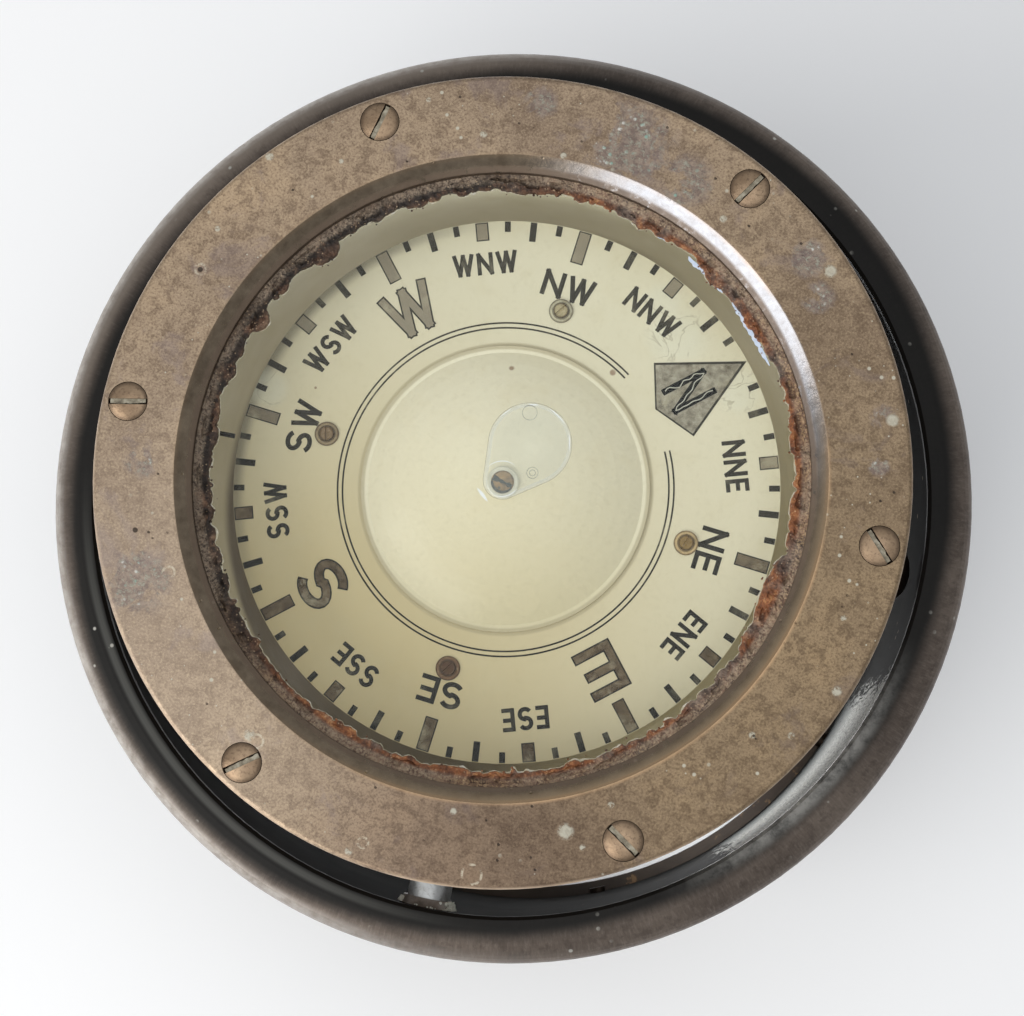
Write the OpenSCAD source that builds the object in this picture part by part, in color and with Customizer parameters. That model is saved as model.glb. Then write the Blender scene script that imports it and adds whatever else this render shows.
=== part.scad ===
// Binnacle compass: a gimballed, liquid-damped card compass in a round deck drum.
//
// The drum stands on the deck. A gimbal ring turns on two pins in the drum's wall
// (along Y), the bowl turns in the ring on two screws (along X), and the card with
// its float and magnets turns on a needle point inside the bowl (about Z).
// Millimetres. +Z is up, and the origin is the centre of the foot's underside.

/* [Binnacle drum] */
// Radius of the drum's inner wall
drum_r = 97.2; // [97:0.2:98]
// Thickness of the drum's sheet wall
drum_wall = 1.8; // [1.4:0.2:2]
// Outer radius of the domed rim
rim_r = 108; // [106:0.5:109]
// Height of the rim's ridge above the deck
ridge_z = 117.2; // [116:0.2:118]
// Height of the rounded part of the rim
rim_fall = 6; // [5:0.5:7]
// Radius of the opening in the foot ring
foot_bore_r = 94.2; // [90:0.2:96]
// Outer radius of the foot ring, between its lugs
foot_r = 104; // [103:0.5:105]
// Thickness of the foot ring
foot_t = 5; // [4:0.5:6]
// Distance of the deck screw holes from the centre
lug_hole_pitch_r = 106; // [105:0.5:107]
// Radius of the deck screw holes
lug_hole_r = 2.25; // [2:0.25:2.5]

/* [Gimbal] */
// Height of both gimbal axes above the deck
gimbal_z = 107; // [106:0.5:107]
// Inner radius of the gimbal ring
ring_in_r = 81.5; // [81.5:0.5:82]
// Outer radius of the gimbal ring
ring_out_r = 87; // [86:0.5:87]
// Height of the gimbal ring
ring_h = 12; // [10:1:12]
// Radius of the pivot journals
journal_r = 3; // [2.5:0.25:3.5]
// Radial running clearance of the pivots
pivot_gap = 0.05; // [0.03:0.01:0.08]

/* [Bezel and glass] */
// Height of the bezel's top face above the deck
top_z = 150; // [150:1:152]
// Outer radius of the bezel
bezel_r = 90; // [89:0.5:90]
// Thickness of the bezel
bezel_t = 6; // [5.5:0.5:6.5]
// Radius of the chamfer's top edge
sight_r = 71.8; // [71:0.2:73]
// Radius of the bezel's bore
bezel_bore_r = 68.3; // [67.5:0.1:69]
// Depth of the chamfer
chamfer_h = 2.5; // [2:0.5:4]
// Distance of the bezel screws from the centre
screw_ring_r = 84; // [83:0.5:84]
// Number of bezel screws
bezel_screw_n = 6; // [6:1:8]
// Radius of the bezel screw heads
screw_head_r = 4.3; // [3.8:0.1:4.5]
// Thickness of the cover glass
glass_t = 4; // [3.5:0.5:4.5]

/* [Bowl] */
// Inner radius of the bowl
bowl_r = 70.5; // [70:0.5:71]
// Thickness of the bowl's wall and floor
bowl_wall = 2.5; // [2:0.5:3]
// Outer radius of the bowl's flange
flange_r = 89; // [88.5:0.5:89]
// Height of the bowl's underside above the deck
bowl_z = 62; // [61:1:63]
// Outer radius of the bowl's bottom corner
bowl_corner = 18; // [16:1:20]
// Radius of the opening under the expansion diaphragm
vent_r = 24; // [22:1:25]
// Outer radius of the ballast ring
ballast_r = 64; // [58:1:66]
// Height of the ballast ring
ballast_h = 18; // [14:1:20]

/* [Card] */
// Radius of the compass card
card_r = 62.8; // [60:0.2:64]
// Thickness of the card
card_t = 0.8; // [0.6:0.1:1]
// Depth of the card's face below the bezel's top face
card_depth = 24; // [24:0.5:26]
// Direction of the card's north point, measured from +X
north_deg = 39; // [0:1:359]
// Radius of the float's dome where it meets the card
dome_r = 32.5; // [31:0.5:34]
// Height of the float's dome
dome_h = 9; // [7:0.5:9.5]
// Radius of the float's cup below the card
float_r = 23.5; // [22.5:0.5:23.5]
// Distance of the card screws from the centre
card_screw_r = 43.2; // [43:0.2:45]
// Radius of the bar magnets
magnet_r = 2.5; // [2:0.25:2.5]
// Length of the bar magnets
magnet_l = 76; // [60:2:80]

/* [Hidden] */
$fn = 96;
eps = 0.01;
arc_steps = 10;
loose = 0.02;                                  // gap of a fixed pin in its own hole
drum_out_r = drum_r + drum_wall;
bezel_z = top_z - bezel_t;                     // underside of the bezel
gasket_t = 1.5;
seat_z = bezel_z - glass_t - gasket_t;         // ledge that carries the glass
seat_r = 76;
flange_t = 8;
bowl_out_r = bowl_r + bowl_wall;
floor_z = bowl_z + bowl_wall;                  // inner floor of the bowl
card_z = top_z - card_depth;                   // face of the card
magnet_x = card_screw_r * sin(45);             // offset of each magnet from north-south
pivot_tip_z = card_z + dome_h - 1.2;           // point of the needle

// Points of an ellipse's arc about [x, z], from angle a to angle b.
function arc(x, z, rx, rz, a, b, n = arc_steps) =
    [for (i = [0:n]) let (t = a + (b - a) * i / n) [x + rx * cos(t), z + rz * sin(t)]];

// A solid of revolution about Z from a closed outline of [radius, height] points.
module turned(points) {
    rotate_extrude() polygon(points);
}

// A plain ring between two radii and two heights.
module ring(r_in, r_out, z0, z1) {
    turned([[r_in, z0], [r_out, z0], [r_out, z1], [r_in, z1]]);
}

// Copies a child n times about Z, the first one at angle a.
module around(n, a = 0) {
    for (i = [0:n - 1]) rotate([0, 0, a + 360 * i / n]) children();
}

// Lies a cylinder along +X, from distance x0 to distance x1, at height z.
module spoke(r, x0, x1, z) {
    translate([x0, 0, z]) rotate([0, 90, 0]) cylinder(r = r, h = x1 - x0);
}

// A slot across a screw's head, open at the top.
module head_slot(length, width, depth, z_top) {
    translate([-length / 2, -width / 2, z_top - depth]) cube([length, width, depth + 1]);
}

// ---- Binnacle drum ----------------------------------------------------------

drum_top_z = ridge_z - 2.6;
drum_lip_r = 102;
drum_lip_t = 1.4;
collar_r = drum_out_r + 2.8;
collar_h = 8;
rivet_r = 1.5;
rivet_n = 8;
rivet_z = foot_t + collar_h - 3;
pin_shank_r = 3.6;
pin_body_r = 5;
pin_body_out = 95.2;                           // outer end of the pin's thick body
pin_body_in = ring_out_r + 0.9;                // inner end, just off the gimbal ring
boss_r = 7.4;
boss_neck_r = 5.8;
nut_r = 5.8;
nut_t = 4;
lug_r = 5;

module binnacle_drum() {
    color("#2b2623") difference() {
        union() {
            ring(drum_r, drum_out_r, foot_t, drum_top_z);
            ring(drum_r, drum_lip_r, drum_top_z - drum_lip_t, drum_top_z);
        }
        around(2, 90) spoke(pin_shank_r + loose, drum_r - 2, drum_out_r + 1, gimbal_z);
        around(rivet_n, 22.5) spoke(rivet_r, drum_r - 2, drum_out_r + 1, rivet_z);
    }
}

// The domed band that covers the drum's lip and ends in a short skirt.
module drum_rim() {
    rim_in = drum_r + 0.8;
    rim_half = rim_r - rim_in;
    spring_z = ridge_z - rim_fall;
    color("#3d3733") turned(concat(
        [[drum_r, drum_top_z], [drum_r, ridge_z - 0.8]],
        arc(rim_in, spring_z, rim_half, rim_fall, 90, 0),
        [[rim_r, spring_z - 2.6], [rim_r - 1.9, spring_z - 2.6],
         [rim_r - 2.3, spring_z + 1], [drum_lip_r + 0.2, drum_top_z]]
    ));
}

// The cast foot: a flat ring, a collar round the wall and four lugs for deck screws.
module foot_ring() {
    color("#3a332c") difference() {
        union() {
            ring(foot_bore_r, foot_r, 0, foot_t);
            turned([[drum_out_r, 0], [foot_r, 0], [foot_r - 1, foot_t + 1],
                    [collar_r, foot_t + 2.5], [collar_r, foot_t + collar_h - 0.6],
                    [collar_r - 0.6, foot_t + collar_h], [drum_out_r, foot_t + collar_h]]);
            around(4) {
                translate([lug_hole_pitch_r, 0, 0]) cylinder(r = lug_r, h = foot_t);
                translate([foot_r - 3, -lug_r, 0])
                    cube([lug_hole_pitch_r - foot_r + 3, 2 * lug_r, foot_t]);
            }
        }
        around(4) translate([lug_hole_pitch_r, 0, -1]) {
            cylinder(r = lug_hole_r, h = foot_t + 20);
            translate([0, 0, foot_t + 1]) cylinder(r = 2 * lug_hole_r, h = 10);
        }
        around(rivet_n, 22.5) spoke(rivet_r, drum_out_r - 1, collar_r + 2, rivet_z);
    }
}

module foot_rivets() {
    head_r = 2.2;
    head_h = 1.4;
    color("#6b5540") around(rivet_n, 22.5) {
        spoke(rivet_r - loose, drum_r - 0.1, collar_r + eps, rivet_z);
        spoke(head_r, drum_r - head_h, drum_r - 0.1 + eps, rivet_z);
        translate([collar_r, 0, rivet_z]) rotate([0, 90, 0])
            turned(concat([[0, 0]], arc(0, 0, head_r, head_h, 0, 90, 5)));
    }
}

// Coned washers soldered inside the wall, which carry the outer pins.
module gimbal_bosses() {
    color("#4a4440") around(2, 90) difference() {
        intersection() {
            translate([pin_body_out, 0, gimbal_z]) rotate([0, 90, 0])
                cylinder(r1 = boss_neck_r, r2 = boss_r, h = drum_r + 2 - pin_body_out);
            translate([0, 0, gimbal_z - 20]) cylinder(r = drum_r, h = 40, $fn = 720);
        }
        spoke(pin_shank_r + loose, pin_body_out - 1, drum_r + 3, gimbal_z);
    }
}

module outer_pivot_pins() {
    color("#a8a59c") around(2, 90) {
        spoke(journal_r, ring_in_r - 0.5, pin_body_in + eps, gimbal_z);
        spoke(pin_body_r, pin_body_in, pin_body_out, gimbal_z);
        spoke(pin_shank_r, pin_body_out - eps, drum_out_r + nut_t + 1, gimbal_z);
    }
}

module outer_pin_nuts() {
    color("#7a6146") around(2, 90) difference() {
        translate([drum_out_r, 0, gimbal_z]) rotate([0, 90, 0])
            cylinder(r = nut_r, h = nut_t, $fn = 6);
        spoke(pin_shank_r + loose, drum_out_r - 1, drum_out_r + nut_t + 1, gimbal_z);
    }
}

// ---- Gimbal ring --------------------------------------------------------------

ring_pad_r = 8;
ring_pad_proud = 0.6;
plug_r = 5.8;
plug_in = ring_out_r + 3.2;                    // inner end of the pivot screw's head
plug_out = 95.4;                               // outer end of its rounded head
trunnion_r = 7;
trunnion_out = ring_in_r - 1;
bearing_depth = 6;

module gimbal_ring() {
    soft = 1;
    half = ring_h / 2;
    color("#8a6f4d") difference() {
        union() {
            turned([[ring_in_r, gimbal_z - half + soft], [ring_in_r + soft, gimbal_z - half],
                    [ring_out_r - soft, gimbal_z - half], [ring_out_r, gimbal_z - half + soft],
                    [ring_out_r, gimbal_z + half - soft], [ring_out_r - soft, gimbal_z + half],
                    [ring_in_r + soft, gimbal_z + half], [ring_in_r, gimbal_z + half - soft]]);
            intersection() {
                around(4) spoke(ring_pad_r, ring_in_r - 4, ring_out_r + 4, gimbal_z);
                ring(ring_in_r, ring_out_r + ring_pad_proud,
                     gimbal_z - ring_pad_r, gimbal_z + ring_pad_r);
            }
        }
        around(2, 90) spoke(journal_r + pivot_gap, ring_in_r - 5, ring_out_r + 5, gimbal_z);
        around(2) spoke(journal_r + loose, ring_in_r - 5, ring_out_r + 5, gimbal_z);
    }
}

// Round-headed screws that pass through the ring into the bowl's trunnions.
module inner_pivot_screws() {
    color("#3b3733") around(2) {
        spoke(journal_r, trunnion_out - bearing_depth + 1, plug_in + eps, gimbal_z);
        difference() {
            translate([0, 0, gimbal_z]) rotate([0, 90, 0]) turned(concat(
                [[0, plug_in], [plug_r, plug_in]],
                arc(0, plug_out - 3, plug_r, 3, 0, 90)
            ));
            translate([plug_out - 1.6, -plug_r, gimbal_z - 0.6]) cube([3, 2 * plug_r, 1.2]);
        }
    }
}

module inner_pivot_nuts() {
    nut_in = ring_out_r + ring_pad_proud;
    color("#7a6146") around(2) difference() {
        translate([nut_in, 0, gimbal_z]) rotate([0, 90, 0])
            cylinder(r = 6.6, h = plug_in - nut_in, $fn = 6);
        spoke(journal_r + loose, nut_in - 1, plug_in + 1, gimbal_z);
    }
}

// ---- Bowl -----------------------------------------------------------------------

filler_deg = 225;
filler_z = 92;
filler_hole_r = 3;
filler_pad_out = bowl_out_r + 1.5;
thread_r = 2;                                  // shank radius of the bezel screws
ballast_in_r = 34;
ballast_screw_r = 46;
ballast_screw_n = 4;
ballast_shank_r = 2.5;
cover_r = 31;
cover_t = 2;
cover_screw_r = 27.5;
cover_screw_n = 6;
cover_shank_r = 1.5;
diaphragm_t = 0.5;
bridge_t = 2.5;
bridge_screw_r = 33;
bridge_shank_r = 1.5;
lubber_r = 0.55;
lubber_deg = 180;

// The cup that holds the liquid, open at the top under the glass.
module bowl_shell() {
    corner_x = bowl_out_r - bowl_corner;
    corner_z = bowl_z + bowl_corner;
    inner_corner = bowl_corner - bowl_wall;
    color("#7d6a58") difference() {
        union() {
            turned(concat(
                [[vent_r, floor_z], [vent_r, bowl_z]],
                arc(corner_x, corner_z, bowl_corner, bowl_corner, -90, 0),
                [[bowl_out_r, seat_z], [bowl_r, seat_z]],
                arc(corner_x, corner_z, inner_corner, inner_corner, 0, -90)
            ));
            rotate([0, 0, filler_deg])
                spoke(6.5, bowl_r + bowl_wall / 2, filler_pad_out, filler_z);
        }
        rotate([0, 0, filler_deg])
            spoke(filler_hole_r + loose, bowl_r - 3, filler_pad_out + 1, filler_z);
        around(ballast_screw_n, 45) translate([ballast_screw_r, 0, bowl_z - 1])
            cylinder(r = ballast_shank_r + loose, h = bowl_wall + 2);
        around(cover_screw_n) translate([cover_screw_r, 0, bowl_z - 1])
            cylinder(r = cover_shank_r + loose, h = bowl_wall + 2);
        around(2, 90) translate([bridge_screw_r, 0, bowl_z - 1])
            cylinder(r = bridge_shank_r + loose, h = bowl_wall + 2);
        rotate([0, 0, lubber_deg])
            spoke(lubber_r + loose, bowl_r - 1, bowl_r + 1.5 + loose, card_z - card_t / 2);
    }
}

// The cast ring brazed round the cup's mouth, which takes the bezel's screws.
module bowl_flange() {
    under_z = bezel_z - flange_t;
    color("#7d6a58") difference() {
        turned([[bowl_out_r, under_z - 2], [bowl_out_r + 2, under_z], [flange_r - 0.5, under_z],
                [flange_r, under_z + 0.5], [flange_r, bezel_z], [seat_r, bezel_z],
                [seat_r, seat_z], [bowl_out_r, seat_z]]);
        around(bezel_screw_n) translate([screw_ring_r, 0, under_z - 1])
            cylinder(r = thread_r + loose, h = flange_t + 2);
    }
}

// Bearing bosses brazed on the bowl, each with a blind hole for a pivot screw.
module bowl_trunnions() {
    color("#7a6146") around(2) difference() {
        spoke(trunnion_r, bowl_out_r - 2, trunnion_out, gimbal_z);
        translate([0, 0, gimbal_z - 20]) cylinder(r = bowl_out_r, h = 40, $fn = 720);
        spoke(journal_r + pivot_gap, trunnion_out - bearing_depth, trunnion_out + 1, gimbal_z);
    }
}

module filler_plug() {
    head_t = 3;
    head_in = filler_pad_out + 0.8;
    color("#8a6f4d") rotate([0, 0, filler_deg]) difference() {
        union() {
            spoke(filler_hole_r, bowl_r, head_in + eps, filler_z);
            spoke(5, head_in, head_in + head_t, filler_z);
        }
        translate([head_in + head_t - 1.2, -6, filler_z - 0.6]) cube([2, 12, 1.2]);
    }
}

module filler_washer() {
    color("#6e4b35") rotate([0, 0, filler_deg]) difference() {
        spoke(5.6, filler_pad_out, filler_pad_out + 0.8, filler_z);
        spoke(filler_hole_r + loose, filler_pad_out - 1, filler_pad_out + 2, filler_z);
    }
}

// The heavy ring under the bowl that keeps it upright.
module ballast_ring() {
    soft = 2;
    low_z = bowl_z - ballast_h;
    color("#5d5f62") difference() {
        turned([[ballast_in_r, low_z], [ballast_r - 2 * soft, low_z], [ballast_r, low_z + 2 * soft],
                [ballast_r, bowl_z], [ballast_in_r, bowl_z]]);
        around(ballast_screw_n, 45) translate([ballast_screw_r, 0, low_z - 1]) {
            cylinder(r = ballast_shank_r + loose, h = ballast_h + 2);
            cylinder(r = 4.8, h = 5);
        }
    }
}

module ballast_screws() {
    low_z = bowl_z - ballast_h;
    color("#8a6f4d") around(ballast_screw_n, 45) translate([ballast_screw_r, 0, 0])
        difference() {
            union() {
                translate([0, 0, low_z + 4 - eps])
                    cylinder(r = ballast_shank_r, h = ballast_h - 4 + bowl_wall);
                translate([0, 0, low_z + 1]) cylinder(r = 4.6, h = 3);
            }
            translate([-5, -0.6, low_z]) cube([10, 1.2, 2.2]);
        }
}

// A corrugated disc that lets the liquid swell in warm weather.
module expansion_diaphragm() {
    top = bowl_z;
    waves = 3;
    wave_h = 1;
    steps = 24;
    function wave(x) = wave_h * sin(360 * waves * x / (vent_r - 2));
    outer = [for (i = [steps:-1:0]) let (x = (vent_r - 2) * i / steps) [x, top + wave(x)]];
    inner = [for (i = [0:steps]) let (x = (vent_r - 2) * i / steps)
             [x, top - diaphragm_t + wave(x)]];
    color("#a9743f") difference() {
        turned(concat([[cover_r, top - diaphragm_t], [cover_r, top]], outer, inner));
        around(cover_screw_n) translate([cover_screw_r, 0, top - 2])
            cylinder(r = cover_shank_r + loose, h = 4);
    }
}

module diaphragm_cover() {
    top = bowl_z - diaphragm_t;
    cup_z = top - 7;
    color("#7a6146") difference() {
        turned([[2, cup_z], [vent_r - 3, cup_z], [vent_r, cup_z + 3], [vent_r, top - cover_t],
                [cover_r, top - cover_t], [cover_r, top], [vent_r - 1.6, top],
                [vent_r - 1.6, cup_z + 3.6], [vent_r - 3.6, cup_z + 1.6], [2, cup_z + 1.6]]);
        around(cover_screw_n) translate([cover_screw_r, 0, top - 5])
            cylinder(r = cover_shank_r + loose, h = 10);
    }
}

module cover_screws() {
    under = bowl_z - diaphragm_t - cover_t;
    color("#9a7b50") around(cover_screw_n) translate([cover_screw_r, 0, 0]) difference() {
        union() {
            translate([0, 0, under - eps])
                cylinder(r = cover_shank_r, h = floor_z - under + eps);
            translate([0, 0, under - 2]) cylinder(r = 2.8, h = 2);
        }
        translate([-3, -0.4, under - 3]) cube([6, 0.8, 1.8]);
    }
}

// The bar across the bowl's floor that carries the pivot post.
module pivot_bridge() {
    half = bridge_screw_r + 5;
    color("#9a7b50") difference() {
        union() {
            translate([-6, -half, floor_z]) cube([12, 2 * half, bridge_t]);
            translate([0, 0, floor_z]) cylinder(r = 10, h = bridge_t);
        }
        around(2, 90) translate([bridge_screw_r, 0, floor_z - 1])
            cylinder(r = bridge_shank_r + loose, h = bridge_t + 2);
        translate([0, 0, floor_z - 1]) cylinder(r = 2 + loose, h = bridge_t + 2);
    }
}

module bridge_screws() {
    seat = floor_z + bridge_t;
    color("#8a6f4d") around(2, 90) translate([bridge_screw_r, 0, 0]) difference() {
        union() {
            translate([0, 0, bowl_z]) cylinder(r = bridge_shank_r, h = seat - bowl_z + eps);
            translate([0, 0, seat]) cylinder(r = 2.8, h = 2);
        }
        head_slot(6, 0.8, 1.2, seat + 2);
    }
}

post_top_z = pivot_tip_z - 5;
needle_r = 0.8;

module pivot_post() {
    foot = floor_z + bridge_t;
    stem_r = 3;
    color("#9a7b50") difference() {
        turned([[0, foot - bridge_t], [2, foot - bridge_t], [2, foot], [5, foot], [5, foot + 3],
                [stem_r, foot + 5], [stem_r, post_top_z - 3], [1.5, post_top_z], [0, post_top_z]]);
        translate([0, 0, post_top_z - 8]) cylinder(r = needle_r + loose, h = 9);
    }
}

module pivot_needle() {
    tip_r = 0.12;
    color("#c9ccd1") turned([[0, post_top_z - 8], [needle_r, post_top_z - 8],
        [needle_r, pivot_tip_z - 2.4], [tip_r, pivot_tip_z], [0, pivot_tip_z]]);
}

// The fixed mark against which the card is read.
module lubber_pin() {
    color("#2d2a27") rotate([0, 0, lubber_deg])
        spoke(lubber_r, card_r + 1.2, bowl_r + 1.5, card_z - card_t / 2);
}

// ---- Glass and bezel --------------------------------------------------------------

glass_r = 75.6;

module glass_gasket() {
    color("#2a2624") ring(bowl_r + 0.5, glass_r, seat_z, seat_z + gasket_t);
}

module cover_glass() {
    soft = 0.4;
    color([0.85, 0.92, 0.93, 0.35]) turned([[0, bezel_z - glass_t],
        [glass_r - soft, bezel_z - glass_t], [glass_r, bezel_z - glass_t + soft],
        [glass_r, bezel_z - soft], [glass_r - soft, bezel_z], [0, bezel_z]]);
}

// The fillet of putty that seals the glass to the bezel's bore.
module glazing_putty() {
    toe_r = bezel_bore_r - 4.3;
    color("#6a4a30") turned([[toe_r, bezel_z], [bezel_bore_r, bezel_z],
        [bezel_bore_r, bezel_z + 1.9], [bezel_bore_r - 1.4, bezel_z + 1.7],
        [bezel_bore_r - 2.8, bezel_z + 1.1], [toe_r, bezel_z + 0.3]]);
}

head_bore_gap = 0.15;
head_t = 2.4;

module bezel_ring() {
    edge = 1.2;
    color("#85705a") difference() {
        turned(concat(
            [[bezel_bore_r, bezel_z], [bezel_r - 0.5, bezel_z], [bezel_r, bezel_z + 0.5]],
            arc(bezel_r - edge, top_z - edge, edge, edge, 0, 90, 6),
            [[sight_r, top_z], [bezel_bore_r, top_z - chamfer_h]]
        ));
        around(bezel_screw_n) translate([screw_ring_r, 0, 0]) {
            translate([0, 0, bezel_z - 1]) cylinder(r = thread_r + 0.2, h = bezel_t + 2);
            translate([0, 0, top_z - head_t])
                cylinder(r = screw_head_r + head_bore_gap, h = head_t + 1);
        }
    }
}

// Each slot stands as the last turn of the screwdriver left it.
slot_deg = [-48, 56, 76, 10, 36, -34];

module bezel_screws() {
    slot_w = 1.3;
    slot_d = 1.2;
    color("#8b735c") for (i = [0:bezel_screw_n - 1])
        rotate([0, 0, 360 * i / bezel_screw_n]) translate([screw_ring_r, 0, 0]) difference() {
            union() {
                translate([0, 0, bezel_z - flange_t])
                    cylinder(r = thread_r, h = flange_t + bezel_t - head_t + eps);
                translate([0, 0, top_z - head_t]) cylinder(r = screw_head_r, h = head_t);
            }
            rotate([0, 0, slot_deg[i % len(slot_deg)] - 360 * i / bezel_screw_n])
                head_slot(2 * screw_head_r + 1, slot_w, slot_d, top_z);
        }
}

// ---- Card, float and magnets ---------------------------------------------------------

card_hole_r = float_r - 0.7;
card_back_z = card_z - card_t;
dome_sphere_r = (dome_r * dome_r + dome_h * dome_h) / (2 * dome_h);
dome_wall = 0.7;
tube_in_r = 4.2;
tube_out_r = tube_in_r + 1;
cup_z = card_z - 13;                           // underside of the float's cup
cap_r = 2.6;
eyelet_r = 2.8;
eyelet_barrel_r = 1.9;
card_shank_r = 0.98;
holder_t = 1.2;
holder_w = 7;
magnet_z = card_back_z - holder_t - magnet_r - 0.7;

// Copies a child at each card screw: north-east, south-east, south-west, north-west.
module at_card_screws() {
    around(4, north_deg + 45) translate([card_screw_r, 0, 0]) children();
}

module compass_card() {
    color("#ddd5b4") difference() {
        ring(card_hole_r, card_r, card_back_z, card_z);
        at_card_screws() translate([0, 0, card_back_z - 1])
            cylinder(r = eyelet_barrel_r + loose, h = card_t + 2);
    }
}

// Height of a sphere of radius r about the dome's centre, at distance x from the axis.
function dome_z(x, r) = card_z + dome_h - dome_sphere_r + sqrt(r * r - x * x);

module float_dome() {
    lip = 0.6;
    inner_r = dome_sphere_r - dome_wall;
    inner_edge = dome_r - 1.2;
    hole = cap_r + loose;
    outer_x = [for (i = [0:arc_steps]) hole + (dome_r - 1 - hole) * i / arc_steps];
    inner_x = [for (i = [arc_steps:-1:0]) hole + (inner_edge - 1.6 - hole) * i / arc_steps];
    color("#d6cca6") turned(concat(
        [for (x = outer_x) [x, dome_z(x, dome_sphere_r)]],
        [[dome_r + 0.6, card_z + lip], [dome_r + 0.6, card_z], [inner_edge - 1.6, card_z]],
        [for (x = inner_x) [x, max(card_z, dome_z(x, inner_r))]]
    ));
}

module float_cup() {
    wall = 0.7;
    low_r = 12;
    color("#cfc6a2") turned([
        [tube_out_r + loose, cup_z], [low_r, cup_z], [float_r, card_z - 6],
        [float_r, card_back_z - 0.6], [float_r + 2.5, card_back_z - 0.6],
        [float_r + 2.5, card_back_z], [float_r - wall, card_back_z],
        [float_r - wall, card_z - 5.8], [low_r - 0.2, cup_z + wall],
        [tube_out_r + loose, cup_z + wall]
    ]);
}

// The tube through the float, inside which the pivot post stands.
module float_tube() {
    top = dome_z(tube_out_r, dome_sphere_r - dome_wall);
    color("#9a7b50") ring(tube_in_r, tube_out_r, cup_z, top);
}

module jewel_cap() {
    inner_top = dome_z(cap_r, dome_sphere_r - dome_wall) - 0.3;
    top = card_z + dome_h + 1.2;
    jewel_top = pivot_tip_z + 0.75;
    color("#8d744d") difference() {
        turned([[1.45, pivot_tip_z - 1.2], [tube_in_r - loose, pivot_tip_z - 1.2],
                [tube_in_r - loose, inner_top - 0.6], [cap_r, inner_top - 0.6],
                [cap_r, top - 0.4], [cap_r - 0.4, top], [0, top], [0, jewel_top],
                [1.45, jewel_top]]);
        rotate([0, 0, -16]) head_slot(2 * cap_r + 1, 0.7, 0.5, top);
    }
}

module cap_washer() {
    washer_r = 3.65;
    color("#d9d6c4") turned([[cap_r + loose, card_z + dome_h], [washer_r, card_z + dome_h],
        [washer_r, card_z + dome_h + 0.5], [washer_r - 0.3, card_z + dome_h + 0.7],
        [cap_r + loose, card_z + dome_h + 0.7]]);
}

module pivot_jewel() {
    jewel_r = 1.42;
    recess_gap = 0.06;
    low = pivot_tip_z - 0.6;
    color("#b9425a") turned([[0, pivot_tip_z + recess_gap], [1, low], [jewel_r, low],
        [jewel_r, pivot_tip_z + 0.72], [0, pivot_tip_z + 0.72]]);
}

module card_eyelets() {
    color("#9b8152") at_card_screws() difference() {
        union() {
            translate([0, 0, card_back_z]) cylinder(r = eyelet_barrel_r, h = card_t + eps);
            translate([0, 0, card_z]) cylinder(r = eyelet_r, h = 0.35);
        }
        translate([0, 0, card_back_z - 1]) cylinder(r = card_shank_r + loose, h = card_t + 3);
    }
}

module card_screws() {
    seat = card_z + 0.35;
    turns = [-33, -73, -30, 77];
    color("#b09a62") for (i = [0:3])
        rotate([0, 0, north_deg + 45 + 90 * i]) translate([card_screw_r, 0, 0]) difference() {
            union() {
                translate([0, 0, card_back_z - holder_t])
                    cylinder(r = card_shank_r, h = seat - card_back_z + holder_t + eps);
                translate([0, 0, seat]) cylinder(r = 1.7, h = 0.7);
            }
            rotate([0, 0, turns[i]]) head_slot(4, 0.6, 0.45, seat + 0.7);
        }
}

// Places a child on each side of the card's north-south line, north along +X.
module at_magnets() {
    rotate([0, 0, north_deg]) for (side = [-1, 1]) translate([0, side * magnet_x, 0]) children();
}

module magnet_holders() {
    band_r = magnet_r + 0.9;
    band_l = 6;
    band_x = 16;
    half = magnet_x + 4;
    color("#9a7b50") at_magnets() difference() {
        union() {
            translate([-half, -holder_w / 2, card_back_z - holder_t])
                cube([2 * half, holder_w, holder_t]);
            for (x = [-band_x, band_x])
                translate([x - band_l / 2, 0, magnet_z]) rotate([0, 90, 0])
                    cylinder(r = band_r, h = band_l);
        }
        translate([-half, 0, magnet_z]) rotate([0, 90, 0])
            cylinder(r = magnet_r + loose, h = 2 * half);
        for (x = [-magnet_x, magnet_x]) translate([x, 0, card_back_z - holder_t - 1])
            cylinder(r = card_shank_r + loose, h = holder_t + 2);
    }
}

module bar_magnets() {
    color("#55585c") at_magnets()
        translate([-magnet_l / 2, 0, magnet_z]) rotate([0, 90, 0])
            cylinder(r = magnet_r, h = magnet_l);
}

binnacle_drum();
drum_rim();
foot_ring();
foot_rivets();
gimbal_bosses();
outer_pivot_pins();
outer_pin_nuts();
gimbal_ring();
inner_pivot_screws();
inner_pivot_nuts();
bowl_shell();
bowl_flange();
bowl_trunnions();
filler_plug();
filler_washer();
ballast_ring();
ballast_screws();
expansion_diaphragm();
diaphragm_cover();
cover_screws();
pivot_bridge();
bridge_screws();
pivot_post();
pivot_needle();
lubber_pin();
glass_gasket();
cover_glass();
glazing_putty();
bezel_ring();
bezel_screws();
compass_card();
float_dome();
float_cup();
float_tube();
jewel_cap();
cap_washer();
pivot_jewel();
card_eyelets();
card_screws();
magnet_holders();
bar_magnets();
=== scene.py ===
"""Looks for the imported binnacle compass: printed card, putty, patina, glass, light and camera.

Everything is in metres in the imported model's frame: +Z up, the origin under the foot's centre.
Angles about Z are in degrees from +X, anticlockwise seen from above.
"""
import math
import random

import bpy
from mathutils import Matrix, Vector, noise


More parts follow.
